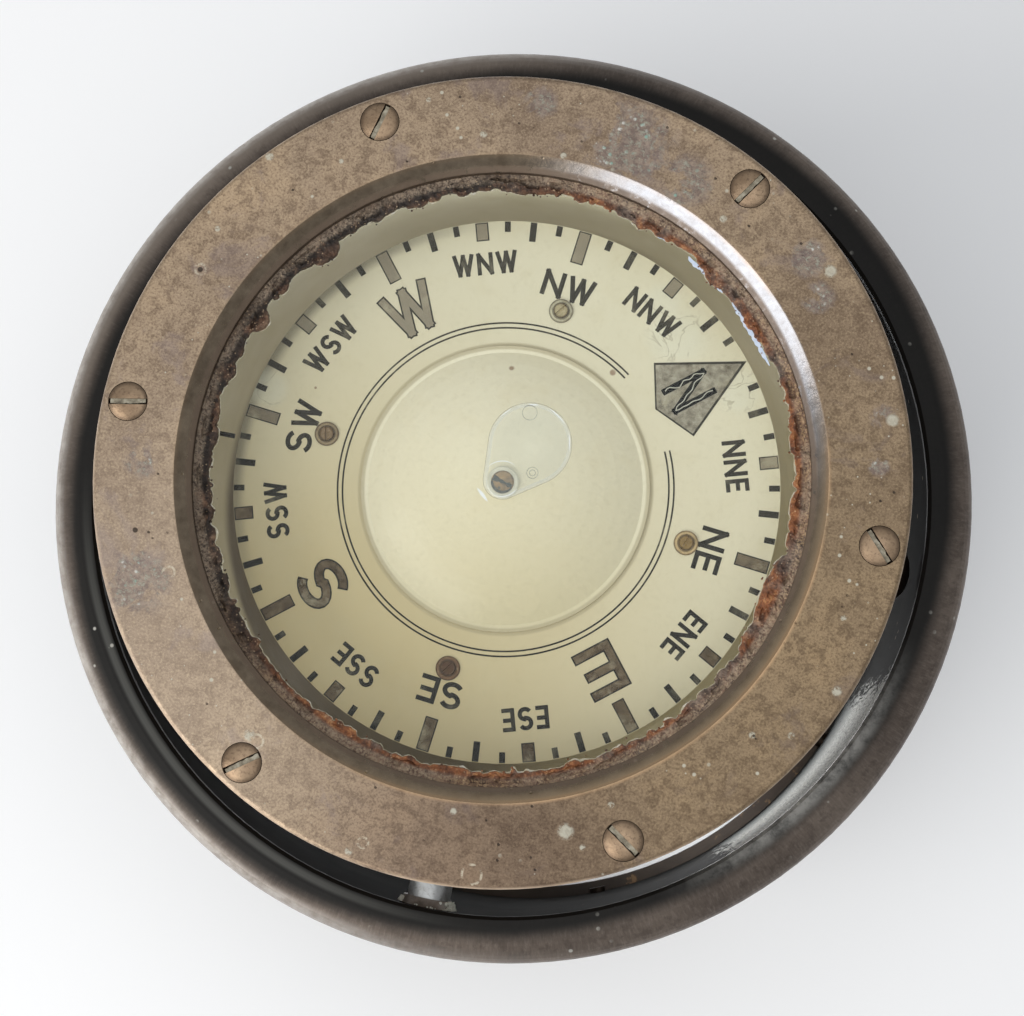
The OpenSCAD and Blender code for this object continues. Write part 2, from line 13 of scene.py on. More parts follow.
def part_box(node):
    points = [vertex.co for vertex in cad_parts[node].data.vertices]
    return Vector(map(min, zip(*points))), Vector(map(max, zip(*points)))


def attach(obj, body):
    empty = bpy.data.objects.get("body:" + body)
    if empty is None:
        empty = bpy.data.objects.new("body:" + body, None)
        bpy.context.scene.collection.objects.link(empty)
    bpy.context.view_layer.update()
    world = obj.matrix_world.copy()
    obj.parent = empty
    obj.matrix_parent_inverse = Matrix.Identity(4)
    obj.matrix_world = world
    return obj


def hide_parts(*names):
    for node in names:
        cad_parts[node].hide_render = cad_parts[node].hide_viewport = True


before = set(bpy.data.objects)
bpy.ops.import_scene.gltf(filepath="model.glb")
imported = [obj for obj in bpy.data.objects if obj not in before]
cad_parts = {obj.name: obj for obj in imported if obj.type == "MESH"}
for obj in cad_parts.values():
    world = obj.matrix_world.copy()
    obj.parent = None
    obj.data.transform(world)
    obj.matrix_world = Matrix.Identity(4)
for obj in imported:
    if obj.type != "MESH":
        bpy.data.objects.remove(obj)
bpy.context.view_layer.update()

MM = 0.001
scene = bpy.context.scene

# ---- Places ----

TOP_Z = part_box("bezel_ring")[1].z
CARD_R, _, CARD_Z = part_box("compass_card")[1]
BORE_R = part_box("glazing_putty")[1].x
GLASS_LOW, GLASS_HIGH = (corner.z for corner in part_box("cover_glass"))
CAP_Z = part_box("jewel_cap")[1].z
RIM_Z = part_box("drum_rim")[1].z
DOME_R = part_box("float_dome")[1].x
GIMBAL_Z = sum(corner.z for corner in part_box("gimbal_ring")) / 2

# Places that the frame doesn't give.
NORTH_DEG = 39             # direction of the card's north
SCREW_R = 84 * MM          # circle of the bezel screws
EYELET_R = 43.2 * MM       # circle of the card's eyelets
BARE_SIDE = -33            # direction of the side where the drum has lost its paint


def aim(turn):
    """The 2-D unit vector at an angle in radians."""
    return Vector((math.cos(turn), math.sin(turn)))


def polar(radius, degrees, height=0.0):
    """The point at that radius and angle about Z."""
    return Vector((*(aim(math.radians(degrees)) * radius), height))


def linear(colour):
    """A screen colour, three numbers of 0 to 255, as Blender's linear one. Others stay as they are."""
    if not isinstance(colour, tuple) or len(colour) != 3:
        return colour

    def channel(value):
        value /= 255
        return value / 12.92 if value <= 0.04045 else ((value + 0.055) / 1.055) ** 2.4
    return (*map(channel, colour), 1.0)


# ---- Camera and light ----

VIEW_TILT = 9.24          # degrees from straight down
VIEW_SIDE = -55.95        # direction about Z towards which the camera stands
VIEW_ROLL = 10.97         # direction about Z that runs to the picture's right
VIEW_DISTANCE = 0.4944
VIEW_LENS = 79.5
AIM_RIGHT, AIM_DOWN = 0.00295, 0.00774


def make_camera():
    """Looks steeply down on the bezel, aimed a little beside its centre."""
    target = Vector((0, 0, TOP_Z))
    tilt = math.radians(VIEW_TILT)
    towards = polar(math.sin(tilt), VIEW_SIDE, math.cos(tilt))
    place = target + towards * VIEW_DISTANCE
    across = polar(1, VIEW_ROLL)
    right = (across - towards * across.dot(towards)).normalized()
    down = (-towards).cross(right)
    forward = (target + right * AIM_RIGHT + down * AIM_DOWN - place).normalized()
    right = (right - forward * right.dot(forward)).normalized()
    data = bpy.data.cameras.new("camera")
    data.lens = VIEW_LENS
    data.clip_start = 0.01
    camera = bpy.data.objects.new("camera", data)
    turn = Matrix((right, right.cross(forward), -forward)).transposed().to_4x4()
    camera.matrix_world = Matrix.Translation(place) @ turn
    scene.collection.objects.link(camera)
    scene.camera = camera


def area_light(name, place, target, size, power, colour=(1, 1, 1)):
    """A rectangular light at a place, turned to its target."""
    data = bpy.data.lights.new(name, "AREA")
    data.shape = "RECTANGLE"
    data.size, data.size_y = size
    data.energy = power
    data.color = colour
    light = bpy.data.objects.new(name, data)
    light.location = place
    light.rotation_euler = (Vector(target) - Vector(place)).to_track_quat("-Z", "Y").to_euler()
    scene.collection.objects.link(light)
    return data


def make_light():
    """A tall window low on one side, an even pale room, and the bright deck under the foot."""
    world = bpy.data.worlds.new("studio")
    world.use_nodes = True
    world.node_tree.nodes["Background"].inputs["Color"].default_value = (0.96, 0.98, 1.0, 1)
    world.node_tree.nodes["Background"].inputs["Strength"].default_value = 0.46
    scene.world = world
    centre = (0, 0, TOP_Z)
    area_light("window", polar(1.35, -132, 0.82), centre, (1.5, 1.3), 19, (1.0, 0.985, 0.955))
    area_light("ceiling", (0, 0, 1.9), centre, (2.0, 2.0), 10.5, (0.97, 0.985, 1.0))
    glow = area_light("foot_glow", (0, 0, 0.04), (0, 0, 0), (0.15, 0.15), 0.1, (0.97, 0.985, 1))
    glow.spread = math.radians(100)
    # The pale deck throws light up through the open foot, on to the side that has lost its paint.
    area_light("deck_bounce", polar(0.062, BARE_SIDE, 0.03), polar(0.0972, BARE_SIDE, 0.116),
               (0.05, 0.05), 0.045)
    # The damping liquid would carry light down round the card's edge. This stands for it.
    area_light("bowl_glow", (0, 0, 0.066), (0, 0, 0.15), (0.09, 0.09), 0.017, (1.0, 0.97, 0.92))


# ---- Node materials ----

LOOKS = {}                # each finished material, by name


class Look:
    """Writes the nodes of one material in the frame's own coordinates, with its colour so far."""

    def __init__(self, name, colour=None):
        self.name = name
        self.colour = colour
        self.material = bpy.data.materials.new(name)
        self.material.use_nodes = True
        self.tree = self.material.node_tree
        self.tree.nodes.clear()
        self.out = self.add("ShaderNodeOutputMaterial")
        self.place = self.add("ShaderNodeTexCoord").outputs["Object"]

    def add(self, kind, **settings):
        node = self.tree.nodes.new(kind)
        for key, value in settings.items():
            setattr(node, key, value)
        return node

    def feed(self, node, **values):
        """Fills a node's sockets and gives its first output.

        A socket goes by its name with underscores, or by its number, as in _0.
        """
        for name, value in values.items():
            key = int(name[1:]) if name[0] == "_" else name.replace("_", " ")
            if isinstance(value, bpy.types.NodeSocket):
                self.tree.links.new(value, node.inputs[key])
            elif value is not None:
                node.inputs[key].default_value = linear(value)
        return node.outputs[0]

    def math(self, operation, a, b=None, clamp=False):
        return self.feed(self.add("ShaderNodeMath", operation=operation, use_clamp=clamp), _0=a, _1=b)

    def times(self, *factors):
        """The product of masks and numbers."""
        return self.fold("MULTIPLY", factors)

    def most(self, *masks):
        """The greatest of several masks."""
        return self.fold("MAXIMUM", masks)

    def fold(self, operation, values):
        """One value out of several, taken in turn."""
        whole = values[0]
        for value in values[1:]:
            whole = self.math(operation, whole, value)
        return whole

    def minus(self, a, b):
        return self.math("SUBTRACT", a, b)

    def total(self, *parts):
        """The sum of values, each given with the share that it counts for."""
        return self.fold("ADD", [self.times(value, share) for value, share in parts])

    def split(self):
        """The three coordinates of the place."""
        return self.feed(self.add("ShaderNodeSeparateXYZ"), _0=self.place).node.outputs

    def radius(self):
        """Distance from the frame's Z axis."""
        x, y, _ = self.split()
        return self.math("SQRT", self.total((x, x), (y, y)))

    def height(self):
        return self.split()[2]

    def ringwise(self, along=1.0, across=1.0):
        """Coordinates (angle, radius, height): grain that runs round the Z axis."""
        x, y, z = self.split()
        turn = self.times(self.math("ARCTAN2", y, x), along)
        return self.feed(self.add("ShaderNodeCombineXYZ"), _0=turn,
                         _1=self.times(self.radius(), across), _2=self.times(z, across))

    def noise(self, scale, detail=4.0, rough=0.55, warp=0.0, at=None):
        """Noise from 0 to 1, whose scale is in grains to the metre."""
        return self.feed(self.add("ShaderNodeTexNoise"), Vector=at or self.place, Scale=scale,
                         Detail=detail, Roughness=rough, Distortion=warp)

    def blots(self, low, high, *grain):
        """A mask where the noise of that grain runs from low to high."""
        return self.span(self.noise(*grain), low, high)

    def cells(self, scale):
        """Distance from the nearest of many scattered points."""
        return self.feed(self.add("ShaderNodeTexVoronoi"), Vector=self.place, Scale=scale)

    def span(self, value, low, high):
        """0 at low and 1 at high, smoothly, and flat beyond. low may be above high."""
        flip = low > high
        node = self.add("ShaderNodeMapRange", interpolation_type="SMOOTHSTEP")
        return self.feed(node, Value=value, From_Min=min(low, high), From_Max=max(low, high),
                         To_Min=float(flip), To_Max=float(not flip))

    def ring(self, low, high):
        """0 at one distance from the Z axis in mm, and 1 at the other."""
        return self.span(self.radius(), low * MM, high * MM)

    def deep(self, low, high):
        """0 at one depth under the bezel's top in mm, and 1 at the other."""
        return self.span(self.height(), TOP_Z - low * MM, TOP_Z - high * MM)

    def line(self, value, middle, outer, inner):
        """1 within inner of a middle value, and 0 beyond outer of it."""
        return self.span(self.math("ABSOLUTE", self.minus(value, middle)), outer, inner)

    def away(self, point):
        """Distance from the point."""
        node = self.add("ShaderNodeVectorMath", operation="DISTANCE")
        node.inputs[1].default_value = point
        self.feed(node, _0=self.place)
        return node.outputs["Value"]

    def near(self, point, inner, outer):
        """1 within inner of the point, and 0 past outer."""
        return self.span(self.away(point), outer, inner)

    def about(self, radius, degrees, inner, outer, height=TOP_Z):
        """The same for a point at that radius and angle. The radius, inner and outer are in mm."""
        return self.near(polar(radius * MM, degrees, height), inner * MM, outer * MM)

    def spots(self, inner, *places, height=TOP_Z):
        """1 inside round spots, each a radius in mm, an angle and a size. inner is a share of it."""
        return self.most(*(self.about(radius, degrees, size * inner, size, height)
                           for radius, degrees, size in places))

    def flecks(self, scale, outer, inner, group, detail, low, high):
        """Small specks, only where a broad noise is high."""
        return self.times(self.span(self.cells(scale), outer, inner),
                          self.blots(low, high, group, detail))

    def nearest(self, count, radius, first):
        """Distance in plan from the nearest of some parts spaced evenly on a circle."""
        x, y, _ = self.split()
        turn = self.minus(self.math("ARCTAN2", y, x), math.radians(first))
        off = self.math("COSINE", self.math("PINGPONG", turn, math.pi / count))
        r = self.radius()
        square = self.math("ADD", self.times(r, r), radius * radius)
        square = self.minus(square, self.times(r, off, 2 * radius))
        return self.math("SQRT", self.math("MAXIMUM", square, 0.0))

    def mix(self, share, a, b, blend="MIX"):
        """The colour a with a share of b laid over it."""
        node = self.add("ShaderNodeMix", data_type="RGBA", blend_type=blend)
        self.feed(node, _0=share, _6=a, _7=b)
        return node.outputs[2]

    def coat(self, tint, *shares, blend="MIX"):
        """Lays a tint over the colour so far, as much as the product of the shares."""
        self.colour = self.mix(self.times(*shares), self.colour, tint, blend)

    def lerp(self, share, a, b):
        """A number from a to b."""
        return self.feed(self.add("ShaderNodeMix", data_type="FLOAT"), _0=share, _2=a, _3=b)

    def ramp(self, value, *stops):
        """A colour for each value, from stops that are each a value and a colour."""
        node = self.add("ShaderNodeValToRGB")
        marks = node.color_ramp.elements
        while len(marks) < len(stops):
            marks.new(0.5)
        for mark, (at, colour) in zip(marks, stops):
            mark.position = at
            mark.color = linear(colour)
        return self.feed(node, _0=value)

    def tones(self, value, dark, light, low=0.3, high=0.7):
        """From a dark colour at low to a light one at high."""
        return self.ramp(value, (low, dark), (high, light))

    def bump(self, height, strength, depth, under=None):
        """A normal from a height, whose depth is in mm."""
        return self.feed(self.add("ShaderNodeBump"), Strength=strength, Distance=depth * MM,
                         Height=height, Normal=under)

    def shader(self, metallic, roughness, normal=None, **constants):
        """The Principled shader. Constants are plain numbers or colours set on it."""
        shader = self.feed(self.add("ShaderNodeBsdfPrincipled"), Base_Color=self.colour,
                           Metallic=metallic, Roughness=roughness, Normal=normal, **constants)
        self.finish(shader)

    def finish(self, shader):
        """Ends the material with its shader and lists it."""
        self.tree.links.new(shader, self.out.inputs["Surface"])
        LOOKS[self.name] = self.material


def bronze_look():
    """Golden brown patina with a fine mottle, dark pits, pale specks and verdigris."""
    look = Look("bezel_bronze")
    middle = look.noise(430, 5, 0.66, 0.3)
    fine = look.noise(1900, 4, 0.7)
    look.colour = look.ramp(look.noise(30, 4, 0.6, 0.4), (0.32, (140, 120, 100)), (0.5, (160, 139, 116)),
                            (0.70, (176, 152, 124)))
    look.coat((122, 102, 84), look.span(middle, 0.46, 0.62), 0.62)
    look.coat((100, 82, 64), look.span(fine, 0.50, 0.62), 0.5)
    look.coat((192, 172, 140), look.span(fine, 0.47, 0.36), 0.4)
    look.coat((126, 112, 112), look.blots(0.56, 0.68, 70, 4, 0.7, 0.5), 0.35)
    # painted light: a painted highlight on the side towards the window, and painted shade towards -24° and
    # -82°
    look.coat((0.11, 0.095, 0.078, 1), look.about(84, -137, 10, 85), blend="ADD")
    look.coat((0.74, 0.71, 0.62, 1), look.about(82, -24, 20, 150), blend="MULTIPLY")
    look.coat((0.72, 0.69, 0.72, 1), look.about(82, -82, 10, 52), blend="MULTIPLY")
    # verdigris and lime in the few places where water stood
    wide = look.spots(0.05, (79, 80, 19), (77, 69, 11), (83, -152, 15), (79, -171, 7), (84, 95, 7))
    small = look.spots(0.12, (82.8, 46, 7.5), (79.7, 40, 6.5), (84.8, 19, 5.5), (82.5, 12, 4))
    patch = look.times(look.most(wide, small), look.noise(260, 6, 0.75, 0.8),
                       look.blots(0.34, 0.56, 95, 5, 0.7, 0.6))
    mauve = look.mix(look.blots(0.42, 0.58, 520, 5, 0.7), (152, 138, 128), (112, 98, 97))
    look.coat(mauve, look.span(patch, 0.12, 0.38), 0.62)
    crust = look.times(look.blots(0.50, 0.60, 760, 6, 0.78), look.span(patch, 0.22, 0.40), 0.6)
    look.coat((166, 168, 152), crust)
    bloom = look.times(look.span(look.cells(620), 0.34, 0.14), look.span(patch, 0.26, 0.42),
                       look.blots(0.42, 0.56, 160, 4, 0.7))
    look.coat(look.mix(look.blots(0.45, 0.56, 210, 3), (206, 204, 196), (138, 166, 152)), bloom)
    bloom = look.most(bloom, crust)
    # a few round pale drops, small specks and dark pits
    drops = look.spots(0.5, (79, -68, 2.1), (85.2, 42.6, 1.7), (86.4, 18.6, 1.7), (83, -66, 0.8),
                       (75, 60, 1.0), (88.6, 137, 1.2), (76.5, 104, 1.0), (79, -35, 0.9),
                       (85, -31, 0.9), (74, -86, 0.9), (88, -100, 1.0), (76, -60, 0.9),
                       (84, 150, 0.8), (79, 128, 0.7), (81, -12, 0.8), (87, -22, 1.3),
                       (86, 112, 0.7), (72.6, 90, 0.9), (78.6, -122, 1.5))
    drops = look.times(drops, look.blots(0.40, 0.54, 900, 5, 0.75))
    blobs = look.spots(0.72, (85.2, 42.6, 1.3), (86.4, 18.6, 1.4), (79, -68, 1.5))
    drops = look.most(drops, look.times(blobs, 0.8))
    speck = look.most(drops, look.flecks(420, 0.10, 0.05, 36, 3, 0.50, 0.58),
                      look.flecks(250, 0.13, 0.07, 48, 2, 0.54, 0.60))
    look.coat((196, 192, 174), speck, 0.8)
    holes = look.spots(0.6, (81.2, 156.6, 0.7), (80.9, -160, 0.7))
    pit = look.most(look.flecks(330, 0.13, 0.06, 85, 2, 0.56, 0.62), holes)
    look.coat((44, 36, 30), pit, 0.85)
    # dried rings where drops stood
    for radius, degrees, size in ((87.0, -82.3, 2.1), (85.2, -98.5, 1.1), (81.2, 156.6, 1.2),
                                  (78.5, -120.5, 1.5), (75.5, -152, 1.3)):
        far = look.away(polar(radius * MM, degrees, TOP_Z))
        look.coat((204, 194, 172), look.line(far, size * MM, 0.38 * MM, 0.12 * MM),
                  look.blots(0.44, 0.56, 420, 5, 0.75), 0.7)
    # the chamfer is smooth dark brown metal, rubbed along its upper edge, with a painted silver reflection
    # of the window towards 50° and painted tan light towards -40°
    chamfer = look.ring(72.1, 71.5)
    slick = look.tones(look.noise(260, 5, 0.65), (100, 88, 74), (140, 126, 108))
    silver = look.tones(middle, (132, 133, 138), (152, 155, 162), 0.35, 0.6)
    slick = look.mix(look.about(71, 50, 26, 60), slick, silver)
    tan = look.times(look.about(71, -40, 40, 95), look.ring(69.0, 71.6), 0.75)
    look.coat(look.mix(tan, slick, (196, 170, 138)), chamfer, 0.92)
    caked = look.times(look.ring(69.9, 69.0), look.span(middle, 0.30, 0.46))
    look.coat((108, 92, 78), caked, 0.85)
    look.coat((196, 160, 122), look.line(look.radius(), 71.7 * MM, 0.9 * MM, 0.1 * MM),
              look.blots(0.30, 0.6, 30, 4), look.lerp(look.about(72, -35, 45, 115), 0.12, 0.6))
    # a pale outer edge: a painted highlight that is strongest towards the window
    look.coat((200, 176, 150), look.ring(89.2, 89.9), look.blots(0.34, 0.56, 90, 4),
              look.lerp(look.about(90, -130, 60, 150), 0.15, 0.75))
    # painted shade in the screws' counterbores and down the bore below the chamfer
    look.coat((84, 68, 54), look.deep(1.2, 3.0), look.ring(80, 88), 0.6)
    look.coat((74, 60, 48), look.deep(2.3, 2.7), look.ring(70, 68.6), 0.8)
    smooth = look.times(chamfer, look.minus(1.0, caked))
    metallic = look.lerp(smooth, look.lerp(look.most(bloom, speck), 0.6, 0.0), 0.95)
    rough = look.lerp(look.span(middle, 0.35, 0.65), 0.36, 0.52)
    rough = look.lerp(smooth, rough, look.lerp(middle, 0.14, 0.3))
    grain = look.lerp(chamfer, fine, look.times(fine, 0.3))
    height = look.total((grain, 0.6), (middle, 0.5), (pit, -1.8), (look.most(bloom, drops), 0.6))
    turned = look.noise(4.0, 3, 0.6, 0, look.ringwise(0.6, 1600))
    look.shader(metallic, look.total((rough, 1), (bloom, 0.3)),
                look.bump(turned, 0.10, 0.05, look.bump(height, 0.45, 0.2)))


def screw_look():
    """The bezel screws: bronze heads, with painted shade round their rim and in the slot."""
    look = Look("screw_bronze")
    broad = look.noise(160, 4, 0.6)
    fine = look.noise(1400, 4, 0.7)
    away = look.math("DIVIDE", look.nearest(6, SCREW_R, 0), 4.3 * MM)
    look.colour = look.tones(broad, (140, 116, 92), (182, 156, 128))
    look.coat((112, 92, 74), look.span(fine, 0.5, 0.64), 0.6)
    # painted shade round the rim of each head and down into the slot
    look.coat((84, 68, 54), look.span(away, 0.74, 1.0), 0.7)
    look.coat((70, 58, 48), look.deep(0.35, 0.9))
    dome = look.bump(look.times(away, away, -1.0), 1.0, 1.1)
    look.shader(0.7, look.lerp(broad, 0.28, 0.46), look.bump(fine, 0.35, 0.12, dome))


def rim_look():
    """Dark bronze rim: painted shade makes it nearly black inside its ridge; brushed and dusty outside it,
    with painted highlights.
    """
    look = Look("rim_paint")
    x, y, _ = look.split()
    r = look.radius()
    broad = look.noise(24, 5, 0.6, 0.3)
    middle = look.noise(320, 5, 0.68)
    streak = look.noise(30, 5, 0.72, 0.2, look.ringwise(6.0, 14))
    look.colour = look.tones(broad, (80, 71, 65), (114, 103, 94))
    look.coat((142, 131, 123), look.span(streak, 0.48, 0.66), 0.24)
    look.coat((58, 52, 48), look.span(streak, 0.46, 0.34), 0.24)
    look.coat((66, 58, 53), look.span(middle, 0.48, 0.64), 0.4)
    # paler on the outer slope towards 140°, and a painted highlight along the outer edge on the side
    # towards the window
    look.coat((142, 131, 120), look.about(105, 140, 50, 105, RIM_Z), look.ring(101.8, 104.6), 0.6)
    look.coat(look.tones(middle, (160, 152, 144), (206, 200, 193), 0.35, 0.65),
              look.span(x, 50 * MM, -60 * MM), look.ring(104.2, 107.2), 0.72)
    # painted shade: nearly black inside the ridge, wider on two opposite sides
    lean = look.times(look.math("DIVIDE", look.times(x, y), look.times(r, r)), 3.4 * MM)
    waver = look.times(look.math("ADD", middle, broad), 1.2 * MM)
    paint = look.span(look.minus(look.math("ADD", r, waver), lean), 106.2 * MM, 101.8 * MM)
    look.coat((15, 15, 14), paint, 0.96)
    look.coat(look.tones(middle, (96, 95, 92), (158, 156, 151), 0.35, 0.6),
              look.about(99, BARE_SIDE, 8, 44, RIM_Z), look.ring(101.6, 98.6), 0.8)
    # a soft painted highlight along the ridge on the side towards the window
    look.coat((96, 96, 92), look.about(99, 232, 30, 80, RIM_Z),
              look.line(r, 99.3 * MM, 1.4 * MM, 0.2 * MM), 0.6)
    look.coat((176, 174, 166), look.flecks(230, 0.14, 0.07, 45, 2, 0.55, 0.62))
    rough = look.total((look.lerp(middle, 0.26, 0.42), 1), (streak, 0.12))
    height = look.total((streak, 0.5), (middle, 0.5))
    look.shader(look.lerp(paint, 0.55, 0.05), look.lerp(paint, rough, 0.55), look.bump(height, 0.25, 0.15),
                Specular_IOR_Level=0.2)


def drum_look():
    """Black paint on the drum, chipped and scuffed, with a grey corroded patch inside."""
    look = Look("drum_paint")
    z = look.height()
    middle = look.noise(190, 6, 0.7)
    inside = look.ring(98.3, 97.9)
    black = look.tones(look.noise(30, 5, 0.6, 0.4), (13, 13, 12), (30, 29, 27))
    # outside: scuffs that run round, brown rubbed places and dust that has settled low down
    look.colour = black
    worn = look.blots(0.58, 0.66, 22, 7, 0.78, 0.8)
    look.coat((74, 62, 52), worn, 0.65)
    look.coat((104, 100, 94), look.blots(0.56, 0.66, 9, 5, 0.7, 0.3, look.ringwise(2.2, 60)),
              look.span(middle, 0.4, 0.6), 0.5)
    dust = look.times(look.span(z, 46 * MM, 12 * MM), look.span(middle, 0.36, 0.66))
    look.coat((112, 102, 88), dust, 0.4)
    look.coat(black, inside)
    # inside: bare grey metal along one side, below the rim
    patch = look.span(look.nearest(1, 97.2 * MM, BARE_SIDE + 2), 33 * MM, 17 * MM)
    patch = look.times(patch, inside, look.span(z, 8 * MM, 24 * MM))
    upright = look.ringwise(1.0, 1.4)
    grain = look.noise(60, 7, 0.76, 0.4, upright)
    edge = look.minus(0.58, look.times(patch, 0.26))
    eaten = look.times(look.span(look.minus(grain, edge), -0.03, 0.05), look.span(patch, 0.0, 0.25))
    grit = look.ramp(look.noise(170, 7, 0.8, 0.2, upright), (0.34, (96, 97, 94)),
                     (0.46, (164, 165, 162)), (0.66, (226, 226, 220)))
    look.coat(look.mix(look.span(z, 26 * MM, 84 * MM), (78, 80, 79), grit), eaten, 0.92)
    look.coat((128, 116, 100), look.flecks(170, 0.12, 0.05, 38, 3, 0.55, 0.62))
    rough = look.lerp(look.most(worn, dust), look.lerp(middle, 0.3, 0.5), 0.7)
    height = look.total((middle, 1), (eaten, -0.3))
    look.shader(0.0, look.lerp(inside, rough, 0.9), look.bump(height, 0.3, 0.2), Specular_IOR_Level=0.06)


def boss_look():
    """The drum's pin bosses: brown-grey metal, chalky down one side."""
    look = Look("boss_metal")
    middle = look.noise(220, 5, 0.68)
    fine = look.noise(900, 4, 0.7)
    look.colour = look.tones(middle, (112, 104, 96), (176, 166, 158))
    lime = look.near((7.0 * MM, -96.2 * MM, GIMBAL_Z + 3 * MM), 1.0 * MM, 4.4 * MM)
    lime = look.times(lime, look.span(fine, 0.34, 0.5))
    look.coat((222, 224, 212), lime)
    rough = look.lerp(lime, look.lerp(middle, 0.34, 0.5), 0.9)
    look.shader(look.lerp(lime, 0.5, 0.0), rough, look.bump(fine, 0.4, 0.15))


def plain_look(name, dark, light, metallic, rough, grain=(300, 5, 0.65), fine=(1500, 3, 0.7),
               relief=(0.3, 0.12), stain=None):
    """Two tones and a range of roughness over a grain, a finer grain in relief, and a stain.

    The stain is a colour, its share, and the low, high and grain of its blots.
    """
    look = Look(name)
    grain = look.noise(*grain)
    look.colour = look.tones(grain, dark, light)
    if stain:
        look.coat(stain[0], look.blots(*stain[2:]), stain[1])
    look.shader(metallic, look.lerp(grain, *rough), look.bump(look.noise(*fine), *relief))


def brass_look(name, dark, light, rough=0.42, scale=1):
    """Old brass between two colours, with fine scratches and tarnish spots."""
    plain_look(name, dark, light, 0.85, (rough - 0.08, rough + 0.14), (90 * scale, 5, 0.62, 0.3),
               (1300 * scale, 4, 0.7), (0.3, 0.1), (dark, 0.5, 0.56, 0.68, 420 * scale, 5, 0.72))


def bowl_look():
    """Brown bronze outside, off-white enamel inside the cup, with painted shade low down on the -X side."""
    look = Look("bowl_bronze")
    x, _, z = look.split()
    middle = look.noise(140, 5, 0.66)
    fine = look.noise(900, 4, 0.7)
    look.colour = look.tones(middle, (98, 80, 64), (140, 116, 92))
    look.coat((68, 56, 46), look.span(fine, 0.52, 0.68), 0.5)
    enamel = look.tones(look.noise(60, 4, 0.6), (232, 226, 200), (246, 241, 220))
    shade_tone = look.tones(look.noise(90, 4, 0.6), (128, 118, 104), (150, 140, 124))
    # painted shade: greyer enamel low in the cup on the -X side
    low = look.times(look.span(z, 98 * MM, 86 * MM), look.span(x, 46 * MM, -10 * MM))
    inside = look.times(look.ring(71.9, 71.4), look.span(z, 63.5 * MM, 64.2 * MM))
    look.coat(look.mix(low, enamel, shade_tone), inside)
    look.shader(look.lerp(inside, 0.6, 0.0), look.lerp(middle, 0.4, 0.6), look.bump(fine, 0.3, 0.15))


def enamel_look(name, light, dark, stain, yellow, shade_centre, reach, gloss=0.32):
    """Cream enamel with painted shade, tinted yellow, within reach of one place, and faint stains and brush
    marks.
    """
    look = Look(name)
    broad = look.noise(22, 4, 0.55, 0.3)
    middle = look.noise(120, 5, 0.62)
    look.colour = look.tones(broad, dark, light, 0.32, 0.68)
    # painted shade, tinted yellow, strongest at one place and mottled by the broad noise
    tinted_shade = look.math("ADD", look.near(shade_centre, 0.1 * reach, reach), look.times(look.minus(broad, 0.5), 0.5),
                     clamp=True)
    look.coat(yellow, tinted_shade, 0.9)
    # painted shadow of the bezel over the card's edge on the -X side
    look.coat((128, 120, 104), look.ring(59.5, 62.4), look.about(62, 160, 26, 66, CARD_Z), 0.8)
    # painted shade round the dome's base
    look.coat((182, 170, 138), look.line(look.radius(), DOME_R, 1.1 * MM, 0.5 * MM), 0.7)
    look.coat(stain, look.span(middle, 0.5, 0.75), 0.25)
    # dried residue: a lighter film with thin wavy outlines
    smear = look.spots(0.4, (53, 53, 9), (58, 34, 7), (60, 168, 6), (56, 61, 6), height=CARD_Z)
    look.coat((228, 228, 212), smear, 0.4)
    look.coat((150, 138, 108), look.line(look.noise(130, 3, 0.5, 1.2), 0.5, 0.022, 0.006), smear, 0.45)
    rust = look.spots(0.5, (36.4, 58.5, 0.9), (52.5, -32, 0.35), (50, 163, 0.4), height=CARD_Z)
    rust = look.most(look.flecks(90, 0.05, 0.03, 31, 2, 0.56, 0.6), rust,
                     look.about(27.6, 98, 0.45, 0.9, CARD_Z + 3 * MM))
    look.coat((128, 84, 58), rust, 0.7)
    look.coat((170, 158, 120), look.blots(0.5, 0.7, 900, 3, 0.6), 0.1)
    height = look.total((look.noise(1500, 3, 0.6), 1), (middle, 0.6))
    look.shader(0.0, look.lerp(middle, gloss - 0.06, gloss + 0.12), look.bump(height, 0.12, 0.08),
                Specular_IOR_Level=0.35)


def ink_look(name, dark, light, wear, painted_light=0.0):
    """Printed paint on the card, thin and rubbed in places, and made paler towards +Y by painted light, by
    a share.
    """
    look = Look(name)
    grain = look.noise(700, 5, 0.7)
    blotch = look.noise(330, 5, 0.72, 0.6)
    look.colour = look.tones(look.total((grain, 0.5), (blotch, 0.5)), dark, light, 0.36, 0.62)
    # painted light: the print paler towards +Y
    look.coat((168, 160, 142), look.span(look.split()[1], -24 * MM, 30 * MM), painted_light)
    look.coat((186, 178, 154), look.blots(0.50, 0.66, 110, 3, 0.6), look.span(blotch, 0.40, 0.58), wear)
    look.shader(0.0, 0.5, look.bump(grain, 0.15, 0.05), Specular_IOR_Level=0.12)


